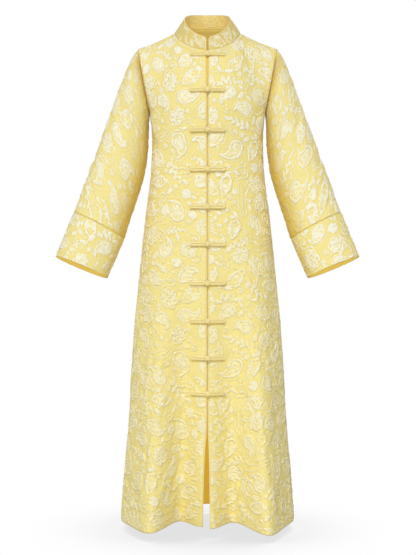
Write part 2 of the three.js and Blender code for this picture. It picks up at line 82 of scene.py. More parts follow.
# %% [markdown]
# ## The sizes of the dress
#
# A maker's size chart comes before any cloth. The tables below hold the body's
# sections, the folds of the skirt, the front opening and the rings of the sleeve.
# They are in millimetres. The origin is between the wearer's shoulders, X runs to the
# wearer's left, the front faces -Y and Z is up.

# %% The size chart
MM = 0.001
LEFT, RIGHT = 1, -1
FRONT, BACK = -1, 1
CLOTH = 2.0
SEAM_GAP = 0.06
ARMHOLE_GAP = 0.1
CHEST_Z = -215
HEM_Z = -1285
SLIT_TOP = -955


def chart(columns, rows):
    """A table with named columns, as one array for each column."""
    values = np.array(rows, float).T
    return dict(zip(columns.split(), values))


BODY = chart("z half front back", [
    (-215, 152, 114, 98),
    (-270, 147, 112, 94),
    (-330, 147, 110, 91),
    (-400, 152, 112, 94),
    (-506, 166, 118, 106),
    (-633, 179, 124, 122),
    (-771, 192, 128, 140),
    (-898, 201, 131, 155),
    (-1026, 208, 134, 170),
    (-1153, 219, 137, 184),
    (-1291, 229, 139, 198),
])
OPENING = chart("z right left", [
    (-58, 4.4, 4.4),
    (-150, 3.2, 3.2),
    (-270, 2.3, 2.3),
    (-955, 2.3, 2.3),
    (-1040, 3.4, 2.6),
    (-1087, 7.4, 4.6),
    (-1171, 10.8, 6.4),
    (-1291, 13, 7.8),
])
FOLDS = chart("face side place spread out", [
    (FRONT, RIGHT, 0.3, 0.16, -66),
    (FRONT, RIGHT, 0.66, 0.2, 54),
    (FRONT, LEFT, 0.28, 0.16, -56),
    (FRONT, LEFT, 0.69, 0.19, 74),
    (BACK, RIGHT, 0.24, 0.13, -20),
    (BACK, RIGHT, 0.56, 0.17, 30),
    (BACK, LEFT, 0.3, 0.14, -26),
    (BACK, LEFT, 0.62, 0.16, 26),
])
SLEEVE = chart("out_x out_z in_x in_z depth forward tilt", [
    (193, -57, 154.6, -226, 58, 0, 0),
    (209, -88, 155.6, -246, 60, 1, 1),
    (231, -144, 156.4, -284, 61, 4, 3),
    (247, -190, 158, -315, 61, 8, 4),
    (265, -240, 162, -352, 60, 14, 5),
    (283, -294, 170, -392, 59, 22, 6),
    (303, -352, 184, -440, 58, 32, 7),
    (325, -416, 201, -494, 57, 44, 8),
    (347.5, -481, 217.5, -548, 55, 57, 8),
    (391.5, -595, 259.5, -649, 53, 78, 8),
])
SQUARENESS = 2.4
WAIST_FOLD_Z = -520
FOLD_GROWTH = 1.35
HEM_DIP = 0.09
SLIT_SWING = {RIGHT: -16, LEFT: 10}
SWING_SPREAD = 0.22
NECK = dict(half=86, front=70, back=60, tilt=40, dip=18)
COLLAR = dict(half=62, front=60, back=52, side_z=34, tilt=39.5, dip=16.5)
COLLAR_CORNER = 10
COLLAR_END = 5
COLLAR_HEIGHT = 37
SHOULDER_X, SHOULDER_Z, SHOULDER_SAG = 183, -42, 3
NECK_SHARE = 0.53
NECK_EASE = 0.06
SHOULDER_PULL = 1.8
PULLS = {
    FRONT: dict(top=[(0, -20, -45), (2, -48, -26), (1, -46, -22)],
                chest=[(0, 2, 60), (-3, 4, 85), (6, -74, 25)]),
    BACK: dict(top=[(0, 24, -35), (8, 44, -14), (1, 48, -20)],
               chest=[(0, 4, 70), (-3, 2, 85), (6, 76, 25)]),
}
CUFF_PROUD = 0.8
FROG_HEIGHTS = [-69, -167, -270, -371, -467, -562.5, -662, -759, -853, -943]
FROG_REACH = 44
print("length, back neck to hem:", round((22 - HEM_Z) * MM, 2), "m")

# %% [markdown]
# ## The surface of the body
#
# Below the underarm a panel is a stack of rings. Each ring is a soft rectangle with
# the half width and depth of its height, and the folds push it out or in more and more
# towards the hem. Above the underarm each column of cloth is one smooth curve from the
# neckline or the shoulder seam down to the chest. Working with whole arrays keeps a
# hundred thousand points quick.

# %% Reading the chart
def read(table, column, z):
    """One column of a chart as a smooth curve, read at the heights z."""
    levels, values = -table["z"], table[column]
    slopes = np.empty_like(values)
    slopes[1:-1] = (values[2:] - values[:-2]) / (levels[2:] - levels[:-2])
    slopes[0] = (values[1] - values[0]) / (levels[1] - levels[0])
    slopes[-1] = (values[-1] - values[-2]) / (levels[-1] - levels[-2])
    at = np.clip(-np.asarray(z, float), levels[0], levels[-1])
    i = np.clip(np.searchsorted(levels, at, side="right") - 1, 0, len(levels) - 2)
    span = levels[i + 1] - levels[i]
    t = (at - levels[i]) / span
    rise = 3 * t**2 - 2 * t**3
    lean = (t**3 - 2 * t**2 + t) * slopes[i] + (t**3 - t**2) * slopes[i + 1]
    return (1 - rise) * values[i] + rise * values[i + 1] + span * lean


def ease(value):
    """0 below 0, 1 above 1, and a smooth step between."""
    value = np.clip(value, 0, 1)
    return value * value * (3 - 2 * value)


def fold_at_hem(face, side, ratio):
    """How far the folds stand out at the hem, by the place across the panel."""
    out = np.zeros_like(ratio)
    for k in range(len(FOLDS["out"])):
        if FOLDS["face"][k] == face and FOLDS["side"][k] == side:
            near = (ratio - FOLDS["place"][k]) / FOLDS["spread"][k]
            out = out + FOLDS["out"][k] * np.exp(-near**2)
    return out * (1 - ratio**10)


def ring_point(face, side, across, z):
    """Points on the body below the underarm. across is 0 at centre, 1 at the side."""
    across, z = np.broadcast_arrays(np.asarray(across, float), np.asarray(z, float))
    half = read(BODY, "half", z)
    depth = read(BODY, "front" if face == FRONT else "back", z)
    start = read(OPENING, "left" if side == LEFT else "right", z) if face == FRONT else 0
    x = start + (half - start) * np.sin(across * math.pi / 2) ** (2 / SQUARENESS)
    ratio = np.minimum(x / half, 1)
    deep = depth * (1 - ratio**SQUARENESS) ** (1 / SQUARENESS)
    growth = np.maximum((WAIST_FOLD_Z - z) / (WAIST_FOLD_Z - HEM_Z), 0) ** FOLD_GROWTH
    y = deep + fold_at_hem(face, side, ratio) * growth
    if face == FRONT:
        down = np.maximum((SLIT_TOP - z) / (SLIT_TOP - HEM_Z), 0)
        y = y + SLIT_SWING[side] * down**2 * np.exp(-((ratio / SWING_SPREAD) ** 2))
    return np.stack([side * x, face * np.maximum(y, SEAM_GAP / 2), z], -1)


print("hem, front left bulge:", ring_point(FRONT, LEFT, 0.6, HEM_Z).round())


# %% The neckline, the shoulders and the yoke
def neck_point(turn):
    """Points on the neckline. turn is 0 at centre front and pi at centre back."""
    forward = np.cos(turn)
    reach = np.where(forward > 0, NECK["front"], NECK["back"])
    z = -NECK["tilt"] * forward - NECK["dip"] * forward**2
    return np.stack([NECK["half"] * np.sin(turn), -reach * forward, z], -1)


def top_edge(face, side, across):
    """A panel's top edge: the neckline, then the shoulder seam."""
    start = math.asin(OPENING["left"][0] / NECK["half"]) if face == FRONT else math.pi
    share = np.minimum(across / NECK_SHARE, 1)
    neck = neck_point(start + (math.pi / 2 - start) * share)
    neck[:, 0] = side * np.abs(neck[:, 0])
    neck[:, 1] = face * np.maximum(np.abs(neck[:, 1]), SEAM_GAP / 2)
    out = np.maximum((across - NECK_SHARE) / (1 - NECK_SHARE), 0)
    x = NECK["half"] + (SHOULDER_X - NECK["half"]) * out
    z = SHOULDER_Z * out - SHOULDER_SAG * np.sin(math.pi * out)
    shoulder = np.stack([side * x, np.full_like(x, face * SEAM_GAP / 2), z], -1)
    return np.where((across < NECK_SHARE)[:, None], neck, shoulder)


def blend_pull(pulls, side, across):
    """A pull blended between the centre, the neck point and the shoulder point."""
    centre, neck, shoulder = (np.array(p, float) for p in pulls)
    inner = ease(across / NECK_SHARE)[:, None]
    outer = np.maximum((across - NECK_SHARE) / (1 - NECK_SHARE), 0)[:, None]
    pull = centre + (neck - centre) * inner + (shoulder - neck) * outer**SHOULDER_PULL
    return pull * np.array([side, 1, 1])


def yoke_points(face, side, across, down):
    """Points above the underarm, on one curve down each column."""
    top = top_edge(face, side, across)
    chest = ring_point(face, side, across, CHEST_Z)
    first = top + blend_pull(PULLS[face]["top"], side, across)
    second = chest + blend_pull(PULLS[face]["chest"], side, across)
    t = down[:, None, None]
    return ((1 - t) ** 3 * top + 3 * (1 - t) ** 2 * t * first
            + 3 * (1 - t) * t**2 * second + t**3 * chest)


def smoothed_across(points, width):
    """A grid smoothed across its columns, with both edge columns kept."""
    reach = int(3 * width)
    before = 2 * points[:, :1] - points[:, reach:0:-1]
    after = 2 * points[:, -1:] - points[:, -2:-reach - 2:-1]
    padded = np.concatenate([before, points, after], axis=1)
    weights = np.exp(-0.5 * (np.arange(-reach, reach + 1) / width) ** 2)
    columns = points.shape[1]
    total = sum(w * padded[:, k:k + columns] for k, w in enumerate(weights))
    return total / weights.sum()


def half_panel(face, side, across, yoke_rows, skirt_rows):
    """A grid of points for one side of a panel, from the top edge to the hem. Just
    below the neck point the cloth is eased, so that no crease runs down from it."""
    down = np.arange(yoke_rows) / yoke_rows
    yoke = yoke_points(face, side, across, down)
    eased = ease(down / 0.16) * (1 - ease((down - 0.6) / 0.4))
    calm = smoothed_across(yoke, NECK_EASE * len(across))
    yoke = yoke + (calm - yoke) * eased[:, None, None]
    ratio = np.sin(across * math.pi / 2) ** (2 / SQUARENESS)
    hem = HEM_Z - HEM_DIP * fold_at_hem(face, side, ratio)
    share = np.linspace(0, 1, skirt_rows)[:, None]
    skirt = ring_point(face, side, across[None, :], CHEST_Z + (hem - CHEST_Z) * share)
    return np.concatenate([yoke, skirt])


def steps_between(points, axis):
    """Distances between neighbouring points along an axis of a grid."""
    return np.linalg.norm(np.diff(points, axis=axis), axis=-1)


def flat_places(points, yoke_rows):
    """Where each point of a half panel lies on the flat cloth: out from the centre
    and down from the chest line."""
    out = np.zeros(points.shape[:2])
    out[:, 1:] = np.cumsum(steps_between(points, 1), axis=1)
    chest_out = out[yoke_rows]
    reach = points[:, :, :2] - points[:, :1, :2]
    straight = np.linalg.norm(reach, axis=-1)
    stretch = chest_out[1:] / straight[yoke_rows, 1:]
    out[:yoke_rows, 1:] = straight[:yoke_rows, 1:] * stretch
    drop = np.zeros(points.shape[:2])
    drop[1:] = np.cumsum(steps_between(points, 0), axis=0)
    return out, drop - drop[yoke_rows]


print("shoulder point:", top_edge(FRONT, LEFT, np.array([1.0])).round(1))


# %% Sleeves and collar
def sleeve_ring(side, row, turns):
    """A ring of the sleeve, from its outer point round the front and back again."""
    middle = np.array([(row["out_x"] + row["in_x"]) / 2, -row["forward"],
                       (row["out_z"] + row["in_z"]) / 2])
    reach = np.array([(row["out_x"] - row["in_x"]) / 2, 0,
                      (row["out_z"] - row["in_z"]) / 2])
    tilt = math.radians(row["tilt"])
    front = row["depth"] * np.array([0, -math.cos(tilt), math.sin(tilt)])
    ring = middle + np.cos(turns)[:, None] * reach + np.sin(turns)[:, None] * front
    return ring * np.array([side, 1, 1])


def sleeve_row(place):
    """The chart's row at a place between its rows, on a smooth curve."""
    count = len(SLEEVE["tilt"])
    known = {"z": -np.arange(count, dtype=float)}
    return {key: float(read({**known, key: column}, key, -place))
            for key, column in SLEEVE.items()}


def armhole_ring(side, turns):
    """The armhole edge of the body, in step with the sleeve's turns."""
    round_share = (turns / (2 * math.pi)) % 1
    ring = np.empty((len(turns), 3))
    for k, share in enumerate(round_share):
        face = FRONT if share <= 0.5 else BACK
        down = min(share * 2 if share <= 0.5 else 2 - share * 2, 0.9999)
        ring[k] = yoke_points(face, side, np.array([1.0]), np.array([down]))[0, 0]
        if share in (0, 0.5):
            ring[k, 1] = 0
    return ring


def collar_point(turn, share):
    """Points on the collar. share runs from the neck seam (0) to the top edge (1)."""
    forward = np.cos(turn)
    reach = np.where(forward > 0, COLLAR["front"], COLLAR["back"])
    top_z = COLLAR["side_z"] - COLLAR["tilt"] * forward - COLLAR["dip"] * forward**2
    top = np.stack([COLLAR["half"] * np.sin(turn), -reach * forward, top_z], -1)
    base = neck_point(turn)
    return base + (top - base) * np.asarray(share)[..., None]


def collar_height_share(turn):
    """How much of the height is left at a turn, for the round front corners."""
    from_end = (np.minimum(turn, 2 * math.pi - turn)
                - COLLAR_END / NECK["half"]) * NECK["front"]
    inside = np.clip(COLLAR_CORNER - from_end, 0, COLLAR_CORNER)
    drop = COLLAR_CORNER - np.sqrt(COLLAR_CORNER**2 - inside**2)
    return 1 - drop / COLLAR_HEIGHT


print("collar top, back:", collar_point(np.array([math.pi]), 1.0).round(1))

# %% [markdown]
# ## The brocade's pattern
#
# The cloth is a pale yellow ground with raised ivory paisleys, peonies, sprigs,
# scrolls and dots. They are the common motifs of such cloth. Each kind is a function
# that lists its threads as curves with a width, and a seeded scatter lays them on a
# repeat that joins up at its edges. Big motifs go first and small ones fill what is
# left, as a designer fills a repeat. The result is one height field for the relief and
# for the ivory colour.

# %% The repeat and its needle
REPEAT_WIDE, REPEAT_LONG = 440, 560
PER_MM = 1.25
STITCH = 0.9
MOST_OVERLAP = 0.006
GRID_WIDE, GRID_LONG = int(REPEAT_WIDE * PER_MM), int(REPEAT_LONG * PER_MM)
lift = np.zeros((GRID_LONG, GRID_WIDE))
taken = np.zeros((GRID_LONG, GRID_WIDE), bool)
chance = np.random.default_rng(7)


def along(points):
    """The points of a thread again, evenly spaced."""
    points = np.asarray(points, float)
    run = np.concatenate([[0], np.cumsum(np.linalg.norm(np.diff(points, axis=0), axis=1))])
    count = max(int(run[-1] / STITCH), 1) + 1
    at = np.linspace(0, run[-1], count)
    return np.stack([np.interp(at, run, points[:, k]) for k in (0, 1)], 1)


def prick(threads, wider=0.0):
    """The grid cells under a motif's threads, and how high each one is lifted."""
    rows, columns, heights = [], [], []
    for points, width, height in threads:
        spots = along(points)
        radius = (width + wider) / 2
        reach = int(radius * PER_MM) + 1
        offsets = np.arange(-reach, reach + 1)
        centre = np.round(spots * PER_MM).astype(int)
        iy = centre[:, 1, None, None] + offsets[None, :, None]
        ix = centre[:, 0, None, None] + offsets[None, None, :]
        far = np.hypot(iy / PER_MM - spots[:, 1, None, None],
                       ix / PER_MM - spots[:, 0, None, None]) / radius
        dome = height * np.maximum(1 - far**2, 0) ** 0.6
        iy, ix = np.broadcast_arrays(iy, ix)
        keep = far < 1
        rows.append(iy[keep] % GRID_LONG)
        columns.append(ix[keep] % GRID_WIDE)
        heights.append(dome[keep])
    return np.concatenate(rows), np.concatenate(columns), np.concatenate(heights)


def embroider(threads, margin):
    """Lays a motif where the cloth is still free, and says whether it did."""
    rows, columns, heights = prick(threads)
    if taken[rows, columns].mean() > MOST_OVERLAP:
        return False
    np.maximum.at(lift, (rows, columns), heights)
    rows, columns, _ = prick(threads, wider=2 * margin)
    taken[rows, columns] = True
    return True


print("repeat:", REPEAT_WIDE, "by", REPEAT_LONG, "mm")


# %% The motifs
def turned(points, x, y, angle):
    """Points of a motif, turned and moved to its place."""
    c, s = math.cos(angle), math.sin(angle)
    points = np.asarray(points, float)
    return np.stack([x + points[:, 0] * c - points[:, 1] * s,
                     y + points[:, 0] * s + points[:, 1] * c], 1)


BELLY = 0.27  # where along its length a paisley is widest
FATNESS = 0.25
SPINE_STEPS = 59
ECHO_START, ECHO_POINTS = 46, 84
PAISLEY_RINGS = [
    # how large beside the outline, width, height
    (0.7, 5.6, 1.0),
    (0.47, 4.2, 0.36),
    (0.32, 3.6, 0.62),
    (0.18, 4.4, 0.36),
    (0.05, 4.6, 0.6),
]


def drop_outline(size, bend, scale):
    """The closed outline of a drop whose long tail curls over, as on a paisley."""
    s = np.linspace(0, 1, SPINE_STEPS + 1)
    heading = bend * s**1.7
    spine = np.cumsum(np.stack([np.sin(heading), np.cos(heading)], 1), axis=0)
    spine = spine * size / SPINE_STEPS
    spine = spine - spine[int(BELLY * SPINE_STEPS)]
    at = BELLY + (s - BELLY) * scale
    centre = np.stack([np.interp(at, s, spine[:, k]) for k in (0, 1)], 1)
    facing = np.interp(at, s, heading)
    half = size * FATNESS * scale * s**0.55 * (1 - s) ** 1.5 / 0.304
    across = np.stack([np.cos(facing), -np.sin(facing)], 1)
    left, right = centre + across * half[:, None], centre - across * half[:, None]
    return np.concatenate([left, right[::-1]])


def filled(outline, width, height, shares, fill):
    """A thick outline round a lower filling."""
    threads = [(outline, width, height)]
    middle = outline.mean(0)
    for share in shares:
        threads.append((middle + (outline - middle) * share, 5.0, fill))
    return threads


def paisley(x, y, angle, size):
    """An echo line, a gap of ground, then a thick lip round a crusty filling."""
    bend = chance.choice([-3.4, 3.4])
    echo = np.roll(drop_outline(size, bend, 1), ECHO_START, axis=0)
    echo = echo[:ECHO_POINTS] if bend > 0 else echo[-ECHO_POINTS:]
    threads = [(turned(echo, x, y, angle), 2.2, 0.6)]
    for ring, width, height in PAISLEY_RINGS:
        outline = drop_outline(size, bend, ring)
        threads.append((turned(outline, x, y, angle), width, height))
    return threads


def peony(x, y, angle, size):
    """Ruffled rings of petals round a knob, with a vein in each outer petal."""
    threads = []
    for share, petals in ((0.5, 7), (0.3, 6), (0.14, 4)):
        turn = np.linspace(0, 2 * math.pi, 110)
        ruffle = 0.66 + 0.34 * np.abs(np.sin(petals * turn / 2 + share * 9)) ** 0.7
        radius = size * share * ruffle
        curve = np.stack([radius * np.cos(turn), 0.84 * radius * np.sin(turn)], 1)
        threads.append((turned(curve, x, y, angle), 2.6 + 2.2 * share, 1.0))
        threads.append((turned(curve * 0.8, x, y, angle), 2.8, 0.34))
    for way in np.arange(7) * 2 * math.pi / 7:
        out = np.array([math.cos(way), 0.84 * math.sin(way)]) * size
        threads.append((turned([out * 0.22, out * 0.36], x, y, angle), 2.2, 0.7))
    return threads


def bud(x, y, angle, size):
    """A plump bud of toothed leaves on a bent stem."""
    s = np.linspace(0, 1, 60)
    teeth = 0.82 + 0.18 * np.cos(12 * math.pi * s)
    half = size * 0.3 * teeth * s**0.5 * (1 - s) ** 0.8 / 0.42
    edge = np.stack([half, size * (s - 0.3)], 1)
    edge = np.concatenate([edge, (edge * [-1, 1])[::-1]])
    threads = filled(turned(edge, x, y, angle), 4.6, 1.0, (0.55, 0.2), 0.42)
    bend = chance.choice([-1, 1]) * s**1.4
    stem = np.stack([size * 0.5 * bend, -size * (0.3 + 0.6 * s)], 1)
    threads.append((turned(stem, x, y, angle), 2.8, 0.9))
    foot = turned(stem[[18, 36]], x, y, angle)
    threads += leaf(*foot[0], angle + 1.1, size * 0.34)
    threads += leaf(*foot[1], angle - 1.1, size * 0.34)
    return threads


def plume(x, y, angle, size):
    """Long lines that sweep round side by side, like the barbs of a feather."""
    s = np.linspace(0, 1, 50)
    hand = chance.choice([-1, 1])
    threads = []
    for k in range(3):
        run = size * (1 - 0.16 * k) * s
        sway = hand * (size * 0.42 * s**2 + 7.5 * k)
        threads.append((turned(np.stack([sway, run - size / 2], 1), x, y, angle),
                        3.0, 0.75))
    return threads


def leaf(x, y, angle, size):
    """A leaf with a toothed edge."""
    t = np.linspace(0, 1, 26)
    half = size * 0.24 * np.sin(math.pi * t) ** 0.8 * (0.75 + 0.25 * np.cos(8 * math.pi * t))
    side = np.stack([half, t * size], 1)
    edge = turned(np.concatenate([side, (side * [-1, 1])[::-1]]), x, y, angle)
    return filled(edge, 2.8, 0.95, (0.4,) if size > 12 else (), 0.55)


def stem_with_leaves(x, y, angle, size, heading, leaf_share):
    """A stem that follows its heading, with leaves on both sides and at its tip."""
    count = len(heading)
    stem = np.cumsum(np.stack([np.sin(heading), np.cos(heading)], 1), axis=0)
    stem = turned((stem - stem[count // 2]) * size / count, x, y, angle)
    threads = [(stem, 2.6, 0.9)]
    for k in range(1, 8):
        foot = count * k // 8
        lean = angle - heading[foot] + (0.9 if k % 2 else -0.9)
        threads += leaf(*stem[foot], lean, size * leaf_share * (1.1 - 0.07 * k))
    return threads + leaf(*stem[-1], angle - heading[-1], size * leaf_share)


def sprig(x, y, angle, size):
    heading = chance.uniform(-1.6, 1.6) * np.linspace(0, 1, 36)
    return stem_with_leaves(x, y, angle, size, heading, 0.26)


def vine(x, y, angle, size):
    """A long stem that winds like an S and ends in a curl."""
    s = np.linspace(0, 1, 90)
    hand = chance.choice([-1, 1])
    heading = hand * (1.5 * np.sin(2 * math.pi * s) + 4.6 * np.maximum(s - 0.72, 0) ** 1.1)
    return stem_with_leaves(x, y, angle, size, heading, 0.15)


def scroll(x, y, angle, size):
    """A tendril that winds up into a spiral, with a long tail."""
    t = np.linspace(0, 1, 60)
    hand = chance.choice([-1, 1])
    turn = hand * t * 2.6 * math.pi
    curve = (size * (0.08 + 0.42 * t**1.3)) * np.stack([np.cos(turn), np.sin(turn)])
    way = turn[-1] + hand * (math.pi / 2 - 0.7 * t)
    tail = curve[:, -1:] + np.stack([np.cos(way), np.sin(way)]) * size * 0.7 * t
    path = np.concatenate([curve, tail], axis=1).T
    ball = np.array([[-0.5, 0], [0.5, 0]]) + path[0]
    return [(turned(path, x, y, angle), 3.2, 0.95), (turned(ball, x, y, angle), 5.6, 1.0)]


def berries(x, y, angle, size):
    """A loose cluster of small knots."""
    threads = []
    for k in range(6):
        reach = size * (0.15 + 0.42 * (k % 3) / 2)
        way = 2.4 * k
        spot = np.array([[reach * math.cos(way) - 0.3, reach * math.sin(way)],
                         [reach * math.cos(way) + 0.3, reach * math.sin(way)]])
        threads.append((turned(spot, x, y, angle), 4.6 + k % 2, 0.95))
    return threads


def floret(x, y, angle, size):
    """A small blossom of five round petals."""
    threads = dot(x, y, angle, size * 0.24)
    for way in angle + np.arange(5) * 2 * math.pi / 5:
        petal = np.array([math.cos(way), math.sin(way)]) * size
        threads.append((np.array([petal * 0.26, petal * 0.38]) + (x, y), size * 0.25, 0.95))
    return threads


def dot(x, y, angle, size):
    return [(turned([(-0.4, 0), (0.4, 0)], x, y, angle), size, 0.95)]


# %% Filling the repeat
SCATTER = [
    # motif, how many to place, tries, smallest, largest, margin
    (paisley, 24, 1200, 70, 106, 1.5),
    (bud, 11, 900, 46, 60, 1.6),
    (peony, 12, 700, 44, 56, 1.6),
    (vine, 14, 1600, 110, 180, 1.2),
    (plume, 10, 900, 70, 105, 1.4),
    (sprig, 16, 1000, 44, 74, 1.2),
    (peony, 9, 700, 24, 32, 1.4),
    (scroll, 44, 1500, 20, 40, 1.2),
    (berries, 16, 900, 18, 24, 1.3),
    (floret, 60, 1800, 14, 22, 1.1),
    (leaf, 60, 1800, 13, 24, 1.1),
    (dot, 110, 1300, 4.0, 6.0, 1.3),
]
for motif, wanted, tries, smallest, largest, margin in SCATTER:
    placed = 0
    for _ in range(tries):
        x, y = chance.uniform(0, REPEAT_WIDE), chance.uniform(0, REPEAT_LONG)
        angle, size = chance.uniform(0, 2 * math.pi), chance.uniform(smallest, largest)
        placed += embroider(motif(x, y, angle, size), margin)
        if placed == wanted:
            break
    print(motif.__name__, placed)


def blurred(field, wide, long=None, lean=0.0):
    """A field smoothed over a width in millimetres, joined up at its edges. It can be
    smoothed over a longer way along a lean from straight down."""
    fy = np.fft.fftfreq(GRID_LONG)[:, None]
    fx = np.fft.rfftfreq(GRID_WIDE)[None, :]
    across = fx * math.cos(lean) - fy * math.sin(lean)
    down = fx * math.sin(lean) + fy * math.cos(lean)
    fine = (wide * across) ** 2 + ((long or wide) * down) ** 2
    keep = np.exp(-2 * (math.pi * PER_MM) ** 2 * fine)
    return np.fft.irfft2(np.fft.rfft2(field) * keep, s=field.shape)


def grain(wide, long=None, lean=0.0):
    """Seeded noise from about -2 to 2, in lumps or in streaks along a lean."""
    lumps = blurred(chance.standard_normal(lift.shape), wide, long, lean)
    return lumps / lumps.std()


def read_grid(field, gx, gy):
    """A field at places between its cells, joined up at its edges."""
    x0, y0 = np.floor(gx).astype(int), np.floor(gy).astype(int)
    fx, fy = gx - x0, gy - y0
    a = field[y0 % GRID_LONG, x0 % GRID_WIDE]
    b = field[y0 % GRID_LONG, (x0 + 1) % GRID_WIDE]
    c = field[(y0 + 1) % GRID_LONG, x0 % GRID_WIDE]
    d = field[(y0 + 1) % GRID_LONG, (x0 + 1) % GRID_WIDE]
    return (a * (1 - fx) + b * fx) * (1 - fy) + (c * (1 - fx) + d * fx) * fy


grid_y, grid_x = np.mgrid[0:GRID_LONG, 0:GRID_WIDE].astype(float)
uneven = read_grid(lift, grid_x + PER_MM * grain(4), grid_y + PER_MM * grain(4))
crumb = grain(1.25)
lift = uneven * np.clip(0.9 + 0.36 * crumb, 0.25, 1.4)
pucker = 0.6 * grain(3.5) + 0.8 * grain(9)
soft_lift = blurred(lift, 0.5)
near_lift = blurred(lift, 2.4)
drag_lines = 0.7 * grain(4.5, 16, 0.5) + 0.7 * grain(7, 30, 0.35)
wide_lift = blurred(lift, 6)
print("ivory cover:", round(float((lift > 0.3).mean()), 2))

# %% Reading the repeat
RELIEF, RELIEF_HALO, RELIEF_PUCKER = 1.45, 1.0, 0.28
relief_field = (RELIEF * soft_lift - RELIEF_HALO * wide_lift
                + RELIEF_PUCKER * pucker * (1 - 0.7 * soft_lift))
ivory_field = np.clip((soft_lift - 0.04) / 0.56, 0, 1)
# Painted shade: a ring of deeper gold in the hollows just beside the raised motifs.
painted_hollow_shade_field = np.clip(2.4 * near_lift - 2.0 * soft_lift, 0, 1)


def sample(field, u, v):
    """A field of the repeat read at flat places in millimetres."""
    return read_grid(field, u * PER_MM, v * PER_MM)


print("relief from", relief_field.min().round(2), "to", relief_field.max().round(2), "mm")

# %% [markdown]
# ## From a grid of points to a piece of cloth
#
# A piece has a fine outer face that carries the relief and a plain inner face with
# fewer points, and one ring of faces closes the two along its edges. Its flat place on
# the cloth is kept as a UV map in metres, so that the weave follows the grain. How
# ivory and how silky each point is, and how much painted shade it has in the hollows
# beside the motifs and elsewhere, are kept as attributes.

# %% The cloth builder
INNER_STEP = 4
EDGE_PRESS = 4.0
EDGE_SINK = 0.5
# Painted shade: how much of the hollows' gold lies along a piece's sunk edges.
EDGE_PAINTED_SHADE = 0.7
HEM_TURN_ROWS = 8


def unit(vectors):
    return vectors / np.maximum(np.linalg.norm(vectors, axis=-1, keepdims=True), 1e-9)


def grid_normals(points, wrap):
    """Unit normals of a grid, with rows down and columns across."""
    down = np.gradient(points, axis=0)
    if wrap:
        padded = np.concatenate([points[:, -1:], points, points[:, :1]], axis=1)
        across = (padded[:, 2:] - padded[:, :-2]) / 2
    else:
        across = np.gradient(points, axis=1)
    return unit(np.cross(across, down))


def faced(normals, face):
    """Normals turned so that on the whole they face the front or the back."""
    return normals * (face * np.sign(normals[..., 1].sum()))


def picked(count, step, extra=()):
    """Every so-manieth index of a count, with the last one and any extra ones."""
    return np.array(sorted({*range(0, count, step), count - 1, *extra}))


def edge_share(u, v, width):
    """0 on a piece's edges and 1 from a width inside them."""
    run_v = np.minimum(v - v.min(0), v.max(0) - v)
    run_u = np.minimum(u - u.min(1)[:, None], u.max(1)[:, None] - u)
    return ease(np.minimum(run_u, run_v) / width)


def cloth_piece(name, points, normals, u, v, *, wrap=False, wall=CLOTH, turn_in=0.0,
                shift=(0, 0), relief=1.0, silk=1.0, press=None, inner_step=INNER_STEP,
                inner_silk=0.0, shade=0.0, materials=()):
    """A closed piece of cloth round a grid of points in millimetres."""
    rows, columns = points.shape[:2]
    share = edge_share(u, v, EDGE_PRESS) if press is None else press
    at = (u + shift[0], v + shift[1])
    height = sample(relief_field, *at) * relief
    fade = np.clip(share * 1.6, 0, 1)
    ivory = sample(ivory_field, *at) * fade
    silk, shade = silk + 0 * u, np.clip(shade + 0 * u, 0, 1)
    # Painted shade: gold in the hollows beside the motifs and along the piece's sunk edges.
    painted_hollow_shade = sample(painted_hollow_shade_field, *at) * fade + (1 - fade) * EDGE_PAINTED_SHADE
    outer = points + normals * (height * share - EDGE_SINK * (1 - share))[..., None]
    turn = rows - HEM_TURN_ROWS
    hem_rows = [turn, turn - 1] if turn_in else []
    keep_rows = picked(rows, inner_step, hem_rows)
    keep_columns = np.arange(0, columns, inner_step) if wrap else picked(
        columns, inner_step)
    depth = np.full(len(keep_rows), wall)
    depth[keep_rows >= turn] += turn_in
    inner = (points[np.ix_(keep_rows, keep_columns)]
             - normals[np.ix_(keep_rows, keep_columns)] * depth[:, None, None])
    verts = np.concatenate([outer.reshape(-1, 3), inner.reshape(-1, 3)]) * MM
    out = np.arange(rows * columns).reshape(rows, columns)
    back = out.size + np.arange(inner.shape[0] * inner.shape[1]).reshape(inner.shape[:2])

    def quads(index):
        nxt = np.roll(index, -1, axis=1) if wrap else index[:, 1:]
        this = index if wrap else index[:, :-1]
        return np.stack([this[:-1], nxt[:-1], nxt[1:], this[1:]], -1).reshape(-1, 4)

    outer_quads, inner_quads = quads(out), quads(back)[:, ::-1]
    rims = []

    def rim(outer_line, inner_line, stops, flip):
        for m in range(len(stops) - 1):
            fine = list(outer_line[stops[m]:stops[m + 1] + 1])
            face = [inner_line[m + 1], inner_line[m]] + fine
            rims.append(face if flip else face[::-1])

    if wrap:
        stops = [*keep_columns, columns]
        for row, flip in ((0, False), (-1, True)):
            rim(np.append(out[row], out[row, 0]), np.append(back[row], back[row, 0]),
                stops, flip)
    else:
        rim(out[0], back[0], keep_columns, False)
        rim(out[-1], back[-1], keep_columns, True)
        rim(out[:, 0], back[:, 0], keep_rows, True)
        rim(out[:, -1], back[:, -1], keep_rows, False)
    picked_cells = np.ix_(keep_rows, keep_columns)
    fields = {"ivory": (ivory, ivory[picked_cells]),
              "silk": (silk, inner_silk * silk[picked_cells]),
              "painted_hollow_shade": (painted_hollow_shade, painted_hollow_shade[picked_cells]),
              "shade": (shade, 0 * painted_hollow_shade[picked_cells])}
    return make_cloth_mesh(name, verts, outer_quads, inner_quads, rims, out, u, v,
                           fields, wrap, materials)


def corner_points(mesh):
    """The point at each corner of a mesh's faces."""
    corners = np.empty(len(mesh.loops), int)
    mesh.loops.foreach_get("vertex_index", corners)
    return corners


def add_flat_map(mesh, uv):
    """Keeps the flat place of each corner, in metres."""
    mesh.uv_layers.new(name="flat").data.foreach_set("uv", uv.astype(np.float32).ravel())


def place(piece, slot):
    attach(piece, "root")
    return piece


